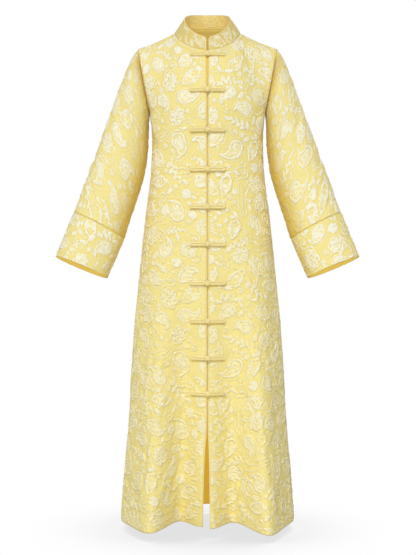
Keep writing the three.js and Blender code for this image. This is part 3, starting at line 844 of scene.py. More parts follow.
def make_cloth_mesh(name, verts, outer_quads, inner_quads, rims, out, u, v, fields, wrap,
                    materials):
    """The mesh object of a piece, with its UV map, attributes and materials."""
    faces = [*outer_quads.tolist(), *inner_quads.tolist(),
             *[[int(i) for i in face] for face in rims]]
    mesh = bpy.data.meshes.new(name)
    mesh.from_pydata(verts.tolist(), [], faces)
    signed = mesh_volume(verts, faces[:len(outer_quads) + len(inner_quads)])
    columns = out.shape[1]
    flat = np.zeros((len(verts), 2))
    flat[:out.size] = np.stack([u, v], -1).reshape(-1, 2) * MM
    loops = corner_points(mesh)
    uv = flat[loops]
    if wrap:
        first = len(outer_quads) * 4
        column = loops[:first] % columns
        seam_quads = (column.reshape(-1, 4) == columns - 1).any(1)
        seam = np.repeat(seam_quads, 4) & (column == 0)
        uv[:first][seam, 0] += (u[:, -1].mean() - u[:, 0].mean()) * MM * columns / (
            columns - 1)
    add_flat_map(mesh, uv)
    for key, (outer_field, inner_field) in fields.items():
        values = np.concatenate([outer_field.ravel(), inner_field.ravel()])
        mesh.attributes.new(key, "FLOAT", "POINT").data.foreach_set(
            "value", values.astype(np.float32))
    for material in materials:
        mesh.materials.append(material)
    kinds = np.zeros(len(faces), np.int32)
    kinds[len(outer_quads):len(outer_quads) + len(inner_quads)] = 1
    mesh.polygons.foreach_set("material_index", kinds)
    mesh.polygons.foreach_set("use_smooth", np.ones(len(faces), bool))
    mesh.update()
    if signed < 0:
        mesh.flip_normals()
    print(name, len(mesh.polygons), "faces")
    return place(new_object(name, mesh), "brocade")


def mesh_volume(verts, faces):
    """The signed volume inside quads, seen from their middle, for the way they face."""
    quad = (verts - verts.mean(axis=0))[np.array(faces)]
    a, b, c, d = (quad[:, k] for k in range(4))
    first = np.einsum("ij,ij->i", a, np.cross(b, c))
    second = np.einsum("ij,ij->i", a, np.cross(c, d))
    return float((first + second).sum())


def cloth_area(piece):
    """Half of the closed surface, which is the area of the cloth."""
    return sum(p.area for p in piece.data.polygons) / 2


# %% [markdown]
# ## The finishes
#
# The cloth's look comes from four things: a soft yellow ground, painted shade in
# deeper gold in its hollows and beside its seams, ivory silk where the motifs stand up,
# and a fine weave. More painted shade in deep gold, with a faint painted glow, lies
# along the armholes, the insides of the arms, the side seams, the neck stitches and
# under the frogs' bars.
# The weave is used by every material, so it is one node group. It reads the UV map,
# because a weave follows the cloth and not the room.

# %% The weave group
def socket(group, name, direction, value=None):
    made = group.interface.new_socket(name=name, in_out=direction,
                                      socket_type="NodeSocketFloat")
    if value is not None:
        made.default_value = value
    return made


def add(tree, kind, **settings):
    node = tree.nodes.new(kind)
    for key, value in settings.items():
        setattr(node, key, value)
    return node


def fill(tree, entry, value):
    """Sets a socket to a constant, or links it to another node's output."""
    if isinstance(value, (int, float, tuple)):
        entry.default_value = value
    else:
        tree.links.new(value, entry)


def math_node(tree, operation, *values):
    node = add(tree, "ShaderNodeMath", operation=operation)
    for entry, value in zip(node.inputs, values):
        fill(tree, entry, value)
    return node.outputs[0]


def noise(tree, place_on_cloth, scale, detail):
    """Noise that follows the flat cloth."""
    node = add(tree, "ShaderNodeTexNoise")
    node.inputs["Scale"].default_value = scale
    node.inputs["Detail"].default_value = detail
    tree.links.new(place_on_cloth.outputs[0], node.inputs["Vector"])
    return node.outputs["Fac"]


def make_weave_group():
    """Threads per metre go in, and the weave's height and a slub mask come out."""
    group = bpy.data.node_groups.new("woven threads", "ShaderNodeTree")
    socket(group, "Threads", "INPUT", value=900.0)
    socket(group, "Slub", "INPUT", value=0.4)
    socket(group, "Height", "OUTPUT")
    socket(group, "Shade", "OUTPUT")
    entry, leave = add(group, "NodeGroupInput"), add(group, "NodeGroupOutput")
    place = add(group, "ShaderNodeUVMap", uv_map="flat")
    split = add(group, "ShaderNodeSeparateXYZ")
    group.links.new(place.outputs[0], split.inputs[0])
    weft = math_node(group, "MULTIPLY", split.outputs[1], entry.outputs["Threads"])
    warp = math_node(group, "MULTIPLY", split.outputs[0], entry.outputs["Threads"])
    twill = math_node(group, "ADD", weft, math_node(group, "MULTIPLY", warp, 0.35))
    ribs = math_node(group, "SINE", math_node(group, "MULTIPLY", twill, 2 * math.pi))
    slub = noise(group, place, 160, 3)
    rough = math_node(group, "MULTIPLY", slub, entry.outputs["Slub"])
    height = math_node(group, "ADD", math_node(group, "MULTIPLY", ribs, 0.25), rough)
    group.links.new(height, leave.inputs["Height"])
    group.links.new(slub, leave.inputs["Shade"])
    return group


weave = make_weave_group()
print("node group:", weave.name)


# %% The materials
GROUND = (0.90, 0.80, 0.34, 1)
GROUND_DEEP = (0.88, 0.76, 0.28, 1)
# Painted shade in the hollows beside the motifs and along the edges.
PAINTED_HOLLOW_SHADE = (0.82, 0.64, 0.15, 1)
# Painted shade in deep gold, and the painted glow of gold that goes with it.
PAINTED_SHADE_GOLD = (0.62, 0.43, 0.06, 1)
PAINTED_GLOW_GOLD = (0.6, 0.4, 0.03, 1)
IVORY = (0.95, 0.935, 0.79, 1)
INSIDE = (0.70, 0.57, 0.17, 1)
STRIP = (0.96, 0.70, 0.10, 1)
CORD = (0.97, 0.88, 0.50, 1)
EDGE = (0.94, 0.85, 0.48, 1)


SLUB = 0.5


def start_material(name, roughness, sheen):
    material = bpy.data.materials.new(name)
    material.use_nodes = True
    tree = material.node_tree
    shader = tree.nodes["Principled BSDF"]
    shader.inputs["Roughness"].default_value = roughness
    shader.inputs["Sheen Weight"].default_value = sheen
    shader.inputs["Sheen Roughness"].default_value = 0.4
    shader.inputs["Sheen Tint"].default_value = (1.0, 0.97, 0.86, 1)
    return material, tree, shader


def woven(tree, threads):
    node = add(tree, "ShaderNodeGroup", node_tree=weave)
    node.inputs["Threads"].default_value = threads
    node.inputs["Slub"].default_value = SLUB
    return node


def point_value(tree, name):
    """An attribute of the mesh, read at each point."""
    return add(tree, "ShaderNodeAttribute", attribute_name=name).outputs["Fac"]


def mix_colour(tree, share, first, second):
    node = add(tree, "ShaderNodeMix", data_type="RGBA")
    for index, value in ((0, share), (6, first), (7, second)):
        fill(tree, node.inputs[index], value)
    return node.outputs[2]


def bump(tree, shader, height, distance):
    node = add(tree, "ShaderNodeBump")
    node.inputs["Distance"].default_value = distance
    tree.links.new(height, node.inputs["Height"])
    tree.links.new(node.outputs[0], shader.inputs["Normal"])


def brocade_material(name, ground_colour, deep_colour, ivory_colour):
    """Yellow satin ground with ivory silk motifs, by each point's ivory. The ground carries
    painted shade in gold in the hollows beside a motif and along the piece's edges, and the
    motifs' edges are ragged and crusty. Where a point has painted shade its colour turns a
    deep gold, with a faint painted glow."""
    material, tree, shader = start_material(name, 0.62, 0.2)
    threads = woven(tree, 1500.0)
    ivory = point_value(tree, "ivory")
    place = add(tree, "ShaderNodeUVMap", uv_map="flat")
    ground = mix_colour(tree, noise(tree, place, 14, 4), deep_colour, ground_colour)
    # Painted shade: the ground turns gold in the hollows beside the motifs and along the
    # edges.
    painted_hollow_shade = math_node(tree, "MULTIPLY", point_value(tree, "painted_hollow_shade"), 0.72)
    ground = mix_colour(tree, painted_hollow_shade, ground, PAINTED_HOLLOW_SHADE)
    crust = math_node(tree, "MULTIPLY_ADD", noise(tree, place, 300, 3), 2.6, -1.3)
    ragged = math_node(tree, "ADD", ivory, math_node(tree, "MULTIPLY", crust, 0.42))
    silk = math_node(tree, "MULTIPLY_ADD", ragged, 1.9, -0.35)
    silk.node.use_clamp = True
    silk = math_node(tree, "MULTIPLY", silk, point_value(tree, "silk"))
    colour = mix_colour(tree, silk, ground, ivory_colour)
    # Painted shade: where a point's shade is set the colour turns deep gold, and a painted
    # glow of gold is added.
    deep = point_value(tree, "shade")
    tree.links.new(mix_colour(tree, deep, colour, PAINTED_SHADE_GOLD), shader.inputs["Base Color"])
    tree.links.new(mix_colour(tree, deep, (0.0, 0.0, 0.0, 1), PAINTED_GLOW_GOLD),
                   shader.inputs["Emission Color"])
    shader.inputs["Emission Strength"].default_value = 0.1
    crumbs = math_node(tree, "MULTIPLY", crust, math_node(tree, "MULTIPLY", ivory, 1.2))
    raised = math_node(tree, "ADD", math_node(tree, "MULTIPLY", ivory, 1.4), crumbs)
    raised = math_node(tree, "ADD", raised,
                       math_node(tree, "MULTIPLY", threads.outputs["Height"], 0.06))
    bump(tree, shader, raised, 0.0006)
    return material


def plain_material(name, colour, deep, roughness, threads, sheen):
    """Plain woven satin with a little variation along the thread."""
    material, tree, shader = start_material(name, roughness, sheen)
    cloth = woven(tree, threads)
    colour = mix_colour(tree, cloth.outputs["Shade"], deep, colour)
    tree.links.new(colour, shader.inputs["Base Color"])
    bump(tree, shader, cloth.outputs["Height"], 0.0003)
    return material


GLOW_TOP, GLOW_FULL = -0.15, -0.4


def painted_glow_by_height(material, high_colour, low_colour, strength):
    """A painted glow on the cloth's inner face, in place of light in the shaded inside;
    brighter and deeper gold below the yoke than on it.
    """
    tree = material.node_tree
    shader = tree.nodes["Principled BSDF"]
    place = add(tree, "ShaderNodeTexCoord")
    split = add(tree, "ShaderNodeSeparateXYZ")
    tree.links.new(place.outputs["Object"], split.inputs[0])
    lowness = add(tree, "ShaderNodeMapRange", interpolation_type="SMOOTHSTEP")
    lowness.inputs["From Min"].default_value = GLOW_TOP
    lowness.inputs["From Max"].default_value = GLOW_FULL
    tree.links.new(split.outputs["Z"], lowness.inputs["Value"])
    tree.links.new(mix_colour(tree, lowness.outputs[0], high_colour, low_colour),
                   shader.inputs["Emission Color"])
    shader.inputs["Emission Strength"].default_value = strength


brocade = brocade_material("brocade", GROUND, GROUND_DEEP, IVORY)
# The collar's two brocades are darker, deeper copies of the brocade: painted shade.
collar_painted_shade_brocade = brocade_material("painted_shade_brocade_on_the_collar", (0.75, 0.62, 0.22, 1),
                                  (0.71, 0.57, 0.17, 1), (0.85, 0.79, 0.55, 1))
collar_inside_painted_shade_brocade = brocade_material("painted_shade_brocade_in_the_collar", (0.84, 0.69, 0.26, 1),
                                 (0.80, 0.64, 0.21, 1), (0.92, 0.81, 0.46, 1))
inside = plain_material("brocade_inside_with_painted_glow", INSIDE, (0.64, 0.50, 0.12, 1), 0.8, 700.0, 0.1)
# The inner face gets a painted glow; its base colour is the cloth's own.
painted_glow_by_height(inside, (0.32, 0.26, 0.08, 1), (0.74, 0.50, 0.06, 1), 0.36)
satin = plain_material("plain_satin", STRIP, (0.82, 0.55, 0.1, 1), 0.5, 900.0, 0.1)
silk_cord = plain_material("silk_cord", CORD, (0.88, 0.71, 0.24, 1), 0.34, 420.0, 0.25)
edge_satin = plain_material("edge_satin", EDGE, (0.88, 0.76, 0.38, 1), 0.5, 700.0, 0.2)
# A painted glow of gold on the collar's inside.
inner_shader = collar_inside_painted_shade_brocade.node_tree.nodes["Principled BSDF"]
collar_inside_painted_shade_brocade.node_tree.links.remove(inner_shader.inputs["Emission Color"].links[0])
inner_shader.inputs["Emission Color"].default_value = (0.8, 0.66, 0.25, 1)
inner_shader.inputs["Emission Strength"].default_value = 0.13
print("materials:", [m.name for m in (brocade, inside, satin, silk_cord)])

# %% [markdown]
# ## The fronts and the back
#
# Each front is cut with the grain parallel to the centre edge, so the motifs run
# straight there and meet the side seam at a slant. The soft creases where the arm and
# the hip pull the cloth are listed one by one.

# %% Soft creases
CREASES = {
    # piece: (from across, from down, to across, to down, width, depth), millimetres
    "front_left": [(200, -60, 120, 30, 16, 2.2), (215, 10, 150, 95, 14, 1.6),
                   (60, 250, 150, 330, 26, 1.4), (205, 300, 190, 620, 22, 2.4),
                   (110, 420, 95, 800, 26, 2.0), (30, 520, 34, 760, 18, 1.2)],
    "front_right": [(195, -70, 115, 20, 15, 2.0), (212, 20, 140, 110, 15, 1.8),
                    (70, 230, 160, 300, 24, 1.2), (200, 330, 180, 640, 24, 2.2),
                    (120, 440, 112, 820, 24, 2.2), (40, 560, 36, 800, 18, 1.0)],
    "back": [(190, -50, 120, 40, 18, 2.2), (-195, -60, -115, 30, 18, 2.0),
             (60, 140, 90, 420, 26, 2.4), (-70, 160, -100, 440, 24, 2.2),
             (10, 300, 16, 560, 26, 1.6), (170, 380, 210, 700, 26, 2.2),
             (-165, 400, -205, 690, 24, 2.2)],
    "sleeve": [(-60, 330, 60, 300, 14, 2.6), (-90, 380, 20, 352, 12, 2.2),
               (40, 120, 95, 240, 16, 2.0), (-50, 90, -100, 220, 16, 2.0),
               (10, 60, 6, 260, 18, 1.6), (90, 400, -10, 430, 13, 1.8)],
}


def crease_depth(name, u, v):
    """How deep the soft creases are at each flat place of a piece."""
    depth = np.zeros_like(u)
    for u0, v0, u1, v1, width, deep in CREASES[name]:
        run = np.array([u1 - u0, v1 - v0], float)
        length = np.linalg.norm(run)
        run /= length
        along_run = (u - u0) * run[0] + (v - v0) * run[1]
        aside = -(u - u0) * run[1] + (v - v0) * run[0]
        taper = np.exp(-(((along_run - length / 2) / (length * 0.42)) ** 4))
        wave = np.exp(-((aside / width) ** 2)) - 0.45 * np.exp(
            -(((aside - 1.7 * width) / width) ** 2))
        depth += deep * wave * taper
    return depth


ARMHOLE_DIP, BODY_SPREAD, SLEEVE_SPREAD = 6.5, 4.5, 30.0
VALLEY_EASE = 45


def armhole_valley(points, edge, away, spread):
    """Sinks the cloth towards the armhole seam, front and back, but not at its ends.
    Gives back how deep in the valley each point is, from 0 to 1."""
    near = ease(np.abs(edge[..., 1]) / VALLEY_EASE) * np.exp(-((away / spread) ** 2))
    points[..., 1] -= np.sign(edge[..., 1]) * ARMHOLE_DIP * near
    return near


def body_valley(points, u, yoke_rows):
    """The valley beside the armhole edge of a half panel, on its yoke."""
    yoke = slice(0, yoke_rows)
    edge = points[yoke, -1:].copy()
    return armhole_valley(points[yoke], edge, u[yoke, -1:] - u[yoke], BODY_SPREAD)


# %% The two fronts
FRONT_COLUMNS = 142
FRONT_ROWS = (96, 540)
DRAG = 0.85
SEAM_CALM = 30
NECK_STITCH, STITCH_WIDE, STITCH_DEEP = 10.5, 1.9, 1.3
LOWER_SIDE = 7.5


def painted_light_silk_share(v):
    """The silk is a little yellower towards the hem: painted light, so that the motifs are
    paler at the top of the dress, where more light falls.
    """
    return 1 - 0.38 * np.clip((v - 60) / 450, 0, 1)


def relief_share(u, v):
    """The motifs stand up more on the skirt, where the cloth hangs free, and less
    beside the seams, where they are pressed."""
    rise = 1.35 + 0.4 * np.clip((v - 60) / 450, 0, 1)
    return rise * (0.45 + 0.55 * edge_share(u, v, 45))


def drag_depth(u, v):
    """Soft lines that fan out towards the hem, deeper the lower they are."""
    return DRAG * sample(drag_lines, u, v) * (0.3 + 0.7 * np.clip((v - 250) / 400, 0, 1))


def level_seams(normals, across, yoke_rows):
    """Normals with no lean across the side and shoulder seams."""
    normals[0, across >= NECK_SHARE, 1] = 0
    normals[yoke_rows:, across == 1, 1] = 0
    return unit(normals)


def neck_groove(points, across, yoke_rows):
    """The groove of the row of stitches that runs round the neck, beside its seam."""
    seam = points[0, across <= NECK_SHARE]
    yoke = points[:yoke_rows]
    away = np.linalg.norm(yoke[:, :, None] - seam[None, None], axis=-1).min(-1)
    groove = np.zeros(points.shape[:2])
    groove[:yoke_rows] = np.exp(-(((away - NECK_STITCH) / STITCH_WIDE) ** 2))
    return groove


def frog_shade(u, z):
    """A line of painted shadow in deep gold just under each bar."""
    under = sum(np.exp(-(((z - height + LOWER_SIDE) / 2.6) ** 2))
                for height in FROG_HEIGHTS)
    return 0.55 * under * ease((FROG_REACH + 1 - u) / 4)


def front(side, name, shift):
    across = np.linspace(0, 1, FRONT_COLUMNS)
    points = half_panel(FRONT, side, across, *FRONT_ROWS)
    u, v = flat_places(points, FRONT_ROWS[0])
    # Painted shade: deep gold beside the side seam, and on the yoke in the valley by the
    # armhole seam.
    shade = 0.25 * np.exp(-(((u[:, -1:] - u) / 14) ** 2))
    shade[:FRONT_ROWS[0]] = 0.3 * body_valley(points, u, FRONT_ROWS[0])
    normals = faced(grid_normals(points, False), FRONT)
    normals = level_seams(normals, across, FRONT_ROWS[0])
    creases = crease_depth(name, u, v) + drag_depth(u, v)
    points = points - normals * (creases * edge_share(u, v, SEAM_CALM))[..., None]
    stitched = neck_groove(points, across, FRONT_ROWS[0])
    points = points - normals * (STITCH_DEEP * stitched)[..., None]
    # More painted shade: a painted shadow under each frog's bar, and deep gold in the groove
    # of the neck stitches.
    shade = shade + frog_shade(u, points[..., 2]) + 0.2 * stitched
    piece = cloth_piece(name + "_cloth", points, normals, u * side, v, turn_in=1.0,
                        shift=shift, silk=painted_light_silk_share(v), shade=shade,
                        relief=relief_share(u, v), materials=(brocade, inside))
    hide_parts(name)
    return piece, points, normals


front_left, left_points, left_normals = front(LEFT, "front_left", (150, 210))
front_right, right_points, right_normals = front(RIGHT, "front_right", (20, 480))
print("front area:", round(cloth_area(front_left), 3), round(cloth_area(front_right), 3))

# %% The back
BACK_COLUMNS = 104
BACK_ROWS = (72, 372)


def back_panel():
    across = np.linspace(0, 1, BACK_COLUMNS)
    halves = []
    for side in (RIGHT, LEFT):
        points = half_panel(BACK, side, across, *BACK_ROWS)
        u, v = flat_places(points, BACK_ROWS[0])
        body_valley(points, u, BACK_ROWS[0])
        halves.append((points, side * u, v))
    right, left = halves
    points, u, v = (np.concatenate([a[:, :0:-1], b], axis=1)
                    for a, b in zip(right, left))
    places = np.concatenate([across[:0:-1], across])
    normals = faced(grid_normals(points, False), BACK)
    normals = level_seams(normals, places, BACK_ROWS[0])
    creases = crease_depth("back", u, v) + drag_depth(u, v)
    points = points - normals * (creases * edge_share(u, v, SEAM_CALM))[..., None]
    piece = cloth_piece("back_cloth", points, normals, u, v, turn_in=1.2,
                        shift=(300, 60), silk=painted_light_silk_share(v), relief=relief_share(u, v),
                        materials=(brocade, inside))
    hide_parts("back")
    return piece


back = back_panel()
print("back area:", round(cloth_area(back), 3))

# %% [markdown]
# ## The sleeves and cuffs
#
# A sleeve is one tube. It starts on the armhole's curve and turns through its chart of
# rings until it is square to the arm. The cuff goes on from there as a slightly wider
# tube, which leaves the fine step of a seam. Both have their own seam at the inside of
# the arm, where the pattern doesn't match.

# %% Sleeve and cuff
SLEEVE_ROWS, SLEEVE_COLUMNS = 190, 164
CUFF_ROWS, CUFF_COLUMNS = 52, 184
SLEEVE_LEAD = 10
CUFF_START = 0.0035


def ring_turns(columns):
    """Turns round a sleeve, starting at the inner seam."""
    return math.pi + np.arange(columns) * 2 * math.pi / columns


def tube_flat(points):
    """Flat places on a tube: round it from its seam, and down it."""
    closed = np.concatenate([points, points[:, :1]], axis=1)
    u = np.zeros(closed.shape[:2])
    u[:, 1:] = np.cumsum(steps_between(closed, 1), axis=1)
    u = (u - u[:, -1:] / 2)[:, :-1]
    drop = np.zeros(points.shape[:2])
    drop[1:] = np.cumsum(steps_between(points, 0), axis=0)
    return u, drop


def outward(points, normals):
    """The normals of a tube, turned to face away from its middle."""
    middle = points.mean(axis=1, keepdims=True)
    facing = np.einsum("ijk,ijk->ij", normals, points - middle)
    return normals if facing.mean() > 0 else -normals


def painted_inner_arm_shade(points, width, depth):
    """Painted shade in deep gold along the inside of the arm, as a share of the sleeve's
    width.
    """
    inside, outside = points[:, :1], points[:, points.shape[1] // 2][:, None]
    way = outside - inside
    from_seam = ((points - inside) * way).sum(-1) / (way**2).sum(-1)
    return depth * np.exp(-(np.maximum(from_seam, 0) / width) ** 2)


def press_ends(v, width=4.0):
    """0 at the two ends of a tube and 1 away from them."""
    return ease(np.minimum(v - v.min(), v.max(0) - v) / width)


def sleeve(side, name, shift):
    turns = ring_turns(SLEEVE_COLUMNS)
    head = armhole_ring(side, turns) + np.array([side * ARMHOLE_GAP, 0, 0])
    last = len(SLEEVE["tilt"]) - 2
    first = sleeve_ring(side, sleeve_row(0), turns)
    lead = np.arange(SLEEVE_LEAD)[:, None, None] / SLEEVE_LEAD
    rings = [sleeve_ring(side, sleeve_row(place), turns)
             for place in np.linspace(0, last, SLEEVE_ROWS - SLEEVE_LEAD)]
    points = np.concatenate([head + (first - head) * lead, rings])
    u, v = tube_flat(points)
    valley = armhole_valley(points, points[:1].copy(), v, SLEEVE_SPREAD)
    normals = outward(points, grid_normals(points, True))
    middle = points[0].mean(0)
    out_of_arm = unit((points[0] - middle) * np.array([0, 1, 1]))
    normals[:SLEEVE_LEAD] = unit(out_of_arm * (1 - lead) + normals[:SLEEVE_LEAD] * lead)
    creases = crease_depth("sleeve", u * side, v) * press_ends(v, 40)
    points = points - normals * creases[..., None]
    # Painted shade: deep gold in the valley by the armhole seam and along the inside of the
    # arm.
    shade = np.maximum(0.85 * valley, painted_inner_arm_shade(points, 0.2, 0.95) * ease(v / 50))
    piece = cloth_piece(name + "_cloth", points, normals, u, v, wrap=True, shift=shift,
                        relief=1.2, silk=0.95, shade=shade, press=press_ends(v),
                        materials=(brocade, inside))
    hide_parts(name)
    return piece


def cuff(side, name, shift):
    turns = ring_turns(CUFF_COLUMNS)
    last = len(SLEEVE["tilt"]) - 1
    start, end = sleeve_row(last - 1), sleeve_row(last)
    rings = []
    for share in np.linspace(CUFF_START, 1, CUFF_ROWS):
        row = {key: start[key] + (end[key] - start[key]) * share for key in start}
        rings.append(sleeve_ring(side, row, turns))
    points = np.array(rings)
    u, v = tube_flat(points)
    normals = outward(points, grid_normals(points, True))
    points = points + normals * CUFF_PROUD
    # Painted shade: deep gold along the inside of the arm.
    piece = cloth_piece(name + "_cloth", points, normals, u, v, wrap=True, turn_in=1.0,
                        shift=shift, shade=painted_inner_arm_shade(points, 0.1, 0.6), press=press_ends(v),
                        materials=(brocade, inside))
    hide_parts(name)
    return piece


sleeve_left = sleeve(LEFT, "sleeve_left", (90, 30))
sleeve_right = sleeve(RIGHT, "sleeve_right", (330, 260))
cuff_left = cuff(LEFT, "cuff_left", (210, 330))
cuff_right = cuff(RIGHT, "cuff_right", (60, 120))
print("sleeve area:", round(cloth_area(sleeve_left), 3),
      "cuff area:", round(cloth_area(cuff_left), 3))

# %% [markdown]
# ## The collar
#
# The stand collar is one band that leans in a little. Its front corners are round, and
# its top edge is a narrow roll of the pale ground cloth, which catches the light.

# %% The band
COLLAR_COLUMNS, COLLAR_ROWS = 210, 26
COLLAR_TUCK = 1.2


def collar_turns(count):
    end = COLLAR_END / NECK["half"]
    corner = end + COLLAR_CORNER / NECK["front"]
    near = end + (corner - end) * np.linspace(0, 1, 12) ** 1.6
    middle = np.linspace(corner, 2 * math.pi - corner, count - 22)[1:-1]
    return np.concatenate([near, middle, (2 * math.pi - near)[::-1]])


def collar_band():
    turns = collar_turns(COLLAR_COLUMNS)
    height = collar_height_share(turns)
    start = -COLLAR_TUCK / COLLAR_HEIGHT
    shares = np.linspace(0, 1, COLLAR_ROWS)
    rows = [collar_point(turns, start + (1 - start) * s * height) for s in shares[::-1]]
    points = np.array(rows)
    inwards = np.stack([-np.sin(turns), np.cos(turns), 0 * turns], -1)
    normals = np.broadcast_to(-inwards, points.shape).copy()
    u = np.broadcast_to(turns * 76, points.shape[:2]).copy()
    v = (1 - shares[::-1])[:, None] * COLLAR_HEIGHT * height + (1 - height) * COLLAR_HEIGHT
    piece = cloth_piece("collar_cloth", points, normals, u, v, shift=(130, 400),
                        relief=0.7, inner_step=1, inner_silk=0.5,
                        materials=(collar_painted_shade_brocade, collar_inside_painted_shade_brocade))
    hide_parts("collar")
    return piece, points


collar, collar_points = collar_band()
print("collar area:", round(cloth_area(collar), 3))


# %% Rolled edges and cords
def tube(name, path, radius, sides=10, material=silk_cord, closed=False, taper=None):
    """A round cord along a path in millimetres, as a closed mesh."""
    path = np.asarray(path, float)
    count = len(path)
    tangent = unit(np.gradient(path, axis=0))
    if closed:
        tangent = unit(np.roll(path, -1, 0) - np.roll(path, 1, 0))
    across = unit(np.cross(tangent, [0.13, 0.31, 0.94]))
    for k in range(1, count):
        side = across[k - 1] - tangent[k] * (across[k - 1] @ tangent[k])
        across[k] = side / np.linalg.norm(side)
    up = np.cross(tangent, across)
    turns = np.arange(sides) * 2 * math.pi / sides
    size = np.ones(count) if taper is None else np.asarray(taper, float)
    ring = (np.cos(turns)[None, :, None] * across[:, None]
            + np.sin(turns)[None, :, None] * up[:, None])
    points = path[:, None] + ring * (radius * size)[:, None, None]
    index = np.arange(count * sides).reshape(count, sides)
    here = index if closed else index[:-1]
    after = np.roll(index, -1, 0) if closed else index[1:]
    faces = np.stack([here, np.roll(here, -1, 1), np.roll(after, -1, 1), after],
                     -1).reshape(-1, 4).tolist()
    if not closed:
        faces += [index[0, ::-1].tolist(), index[-1].tolist()]
    mesh = bpy.data.meshes.new(name)
    mesh.from_pydata((points.reshape(-1, 3) * MM).tolist(), [], faces)
    run = np.concatenate([[0], np.cumsum(np.linalg.norm(np.diff(path, axis=0), axis=1))])
    flat = np.stack([np.broadcast_to(turns * radius, (count, sides)),
                     np.broadcast_to(run[:, None], (count, sides))], -1).reshape(-1, 2)
    add_flat_map(mesh, flat[corner_points(mesh)] * MM)
    mesh.materials.append(material)
    mesh.polygons.foreach_set("use_smooth", np.ones(len(mesh.polygons), bool))
    if mesh_volume(points.reshape(-1, 3), faces[:len(here) * sides]) < 0:
        mesh.flip_normals()
    return new_object(name, mesh)


def rolled_edge(name, path, radius):
    size = np.ones(len(path))
    size[[0, -1]] = 0.6
    return place(tube(name, path, radius, sides=8, material=edge_satin, taper=size),
                 "brocade")


collar_middle = collar_points - unit(collar_points * np.array([1, 1, 0]))
collar_line = [collar_middle[:0:-1, 0], collar_middle[0], collar_middle[1:, -1]]
collar_edge = rolled_edge("collar_rolled_edge", np.concatenate(collar_line), 1.35)
for name, points, normals in (("front_left_turned_edge", left_points, left_normals),
                              ("front_right_turned_edge", right_points, right_normals)):
    path = points[::3, 0] - normals[::3, 0]
    rolled_edge(name, path, 1.2)

# %% [markdown]
# ## The underlap
#
# A plain golden strip lies behind the gap between the fronts, from the collar to the
# last frog. It is a narrow flat wall that follows the insides of both fronts.

# %% The strip
UNDERLAP_TOP, UNDERLAP_END = -66, -952
UNDERLAP_HALF, UNDERLAP_CLEAR, UNDERLAP_WALL = 14, 0.75, 1.4
FIRST_GUESS_ROW = 300


def on_front(points, normals, x, z, out):
    """A point beside the centre of a front, moved out from it."""
    row = FIRST_GUESS_ROW
    for _ in range(3):
        column = int(np.abs(np.abs(points[row, :, 0]) - x).argmin())
        row = int(np.abs(points[:, column, 2] - z).argmin())
    column = int(np.abs(np.abs(points[row, :, 0]) - x).argmin())
    spot = points[row, column].copy()
    spot += normals[row, column] * out
    spot[0], spot[2] = math.copysign(x, points[row, column, 0]), z
    return spot


def underlap():
    heights = np.linspace(UNDERLAP_TOP, UNDERLAP_END, 180)
    across = np.linspace(-UNDERLAP_HALF, UNDERLAP_HALF, 9)
    points = np.empty((len(heights), len(across), 3))
    for i, z in enumerate(heights):
        for j, x in enumerate(across):
            grid = (left_points, left_normals) if x >= 0 else (right_points, right_normals)
            spot = on_front(*grid, max(abs(x), 6), z, -CLOTH - UNDERLAP_CLEAR)
            points[i, j] = (x, spot[1], z)
    for _ in range(3):
        points[1:-1, :, 1] = (points[:-2, :, 1] + points[1:-1, :, 1] * 2
                              + points[2:, :, 1]) / 4
    normals = faced(grid_normals(points, False), FRONT)
    u = np.broadcast_to(across, points.shape[:2]).copy()
    v = np.broadcast_to(-heights[:, None], points.shape[:2]).copy()
    piece = cloth_piece("front_underlap_cloth", points, normals, u, v, relief=0.0,
                        wall=UNDERLAP_WALL, materials=(satin, satin))
    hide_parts("front_underlap")
    return piece


strip = underlap()

# %% [markdown]
# ## The frogs
#
# Each frog is a pair of bars and a ball knot. A bar is one satin cord that runs out,
# folds back at its end and comes home beside itself. The ball is a woven knot: one
# cord goes over and under itself round a small core. The knot is modelled once and
# copied to each frog.

# %% The bars
CORD_RADIUS = 2.8
CORD_APART = 5.5
CORD_CLEAR = 0.8
KNOT_RADIUS = 7.0
KNOT_CORD_RADIUS = 1.9
BUTTON_START, LOOP_START = 3.5, 4.5


def bar_path(side, z, start):
    """Out along a front, round at the end, and back beside itself."""
    grid = (left_points, left_normals) if side == LEFT else (right_points, right_normals)
    xs = np.linspace(start, FROG_REACH - CORD_APART / 2, 12)
    turn = np.linspace(-math.pi / 2, math.pi / 2, 9)[1:-1]
    upper = [(x, CORD_APART / 2) for x in xs]
    bend = [(xs[-1] + CORD_APART / 2 * math.cos(t), -CORD_APART / 2 * math.sin(t))
            for t in turn]
    lower = [(x, -CORD_APART / 2) for x in xs[::-1]]
    path = []
    for x, rise in upper + bend + lower:
        spot = on_front(*grid, max(x, 5), z, CORD_RADIUS + CORD_CLEAR)
        path.append((side * x, spot[1], z + rise))
    path = np.array(path)
    path[:, 1] = np.convolve(np.pad(path[:, 1], 2, mode="edge"), np.ones(5) / 5, "valid")
    return path


# %% The ball knot
def knot_path():
    """A woven knot on a ball: three turns that rise and fall four times."""
    t = np.linspace(0, 6 * math.pi, 150, endpoint=False)
    rise = 0.82 * np.sin(4 * t / 3)
    radius = 4.9 + 0.85 * np.cos(8 * t / 3)
    return np.stack([radius * np.cos(t) * np.cos(rise), radius * np.sin(t) * np.cos(rise),
                     radius * np.sin(rise)], -1)


def join(name, parts):
    """Pieces joined into the first of them, under a new name."""
    bpy.ops.object.select_all(action="DESELECT")
    for part in parts:
        part.select_set(True)
    bpy.context.view_layer.objects.active = parts[0]
    bpy.ops.object.join()
    piece = bpy.context.object
    piece.name = name
    piece.data.name = name
    return piece


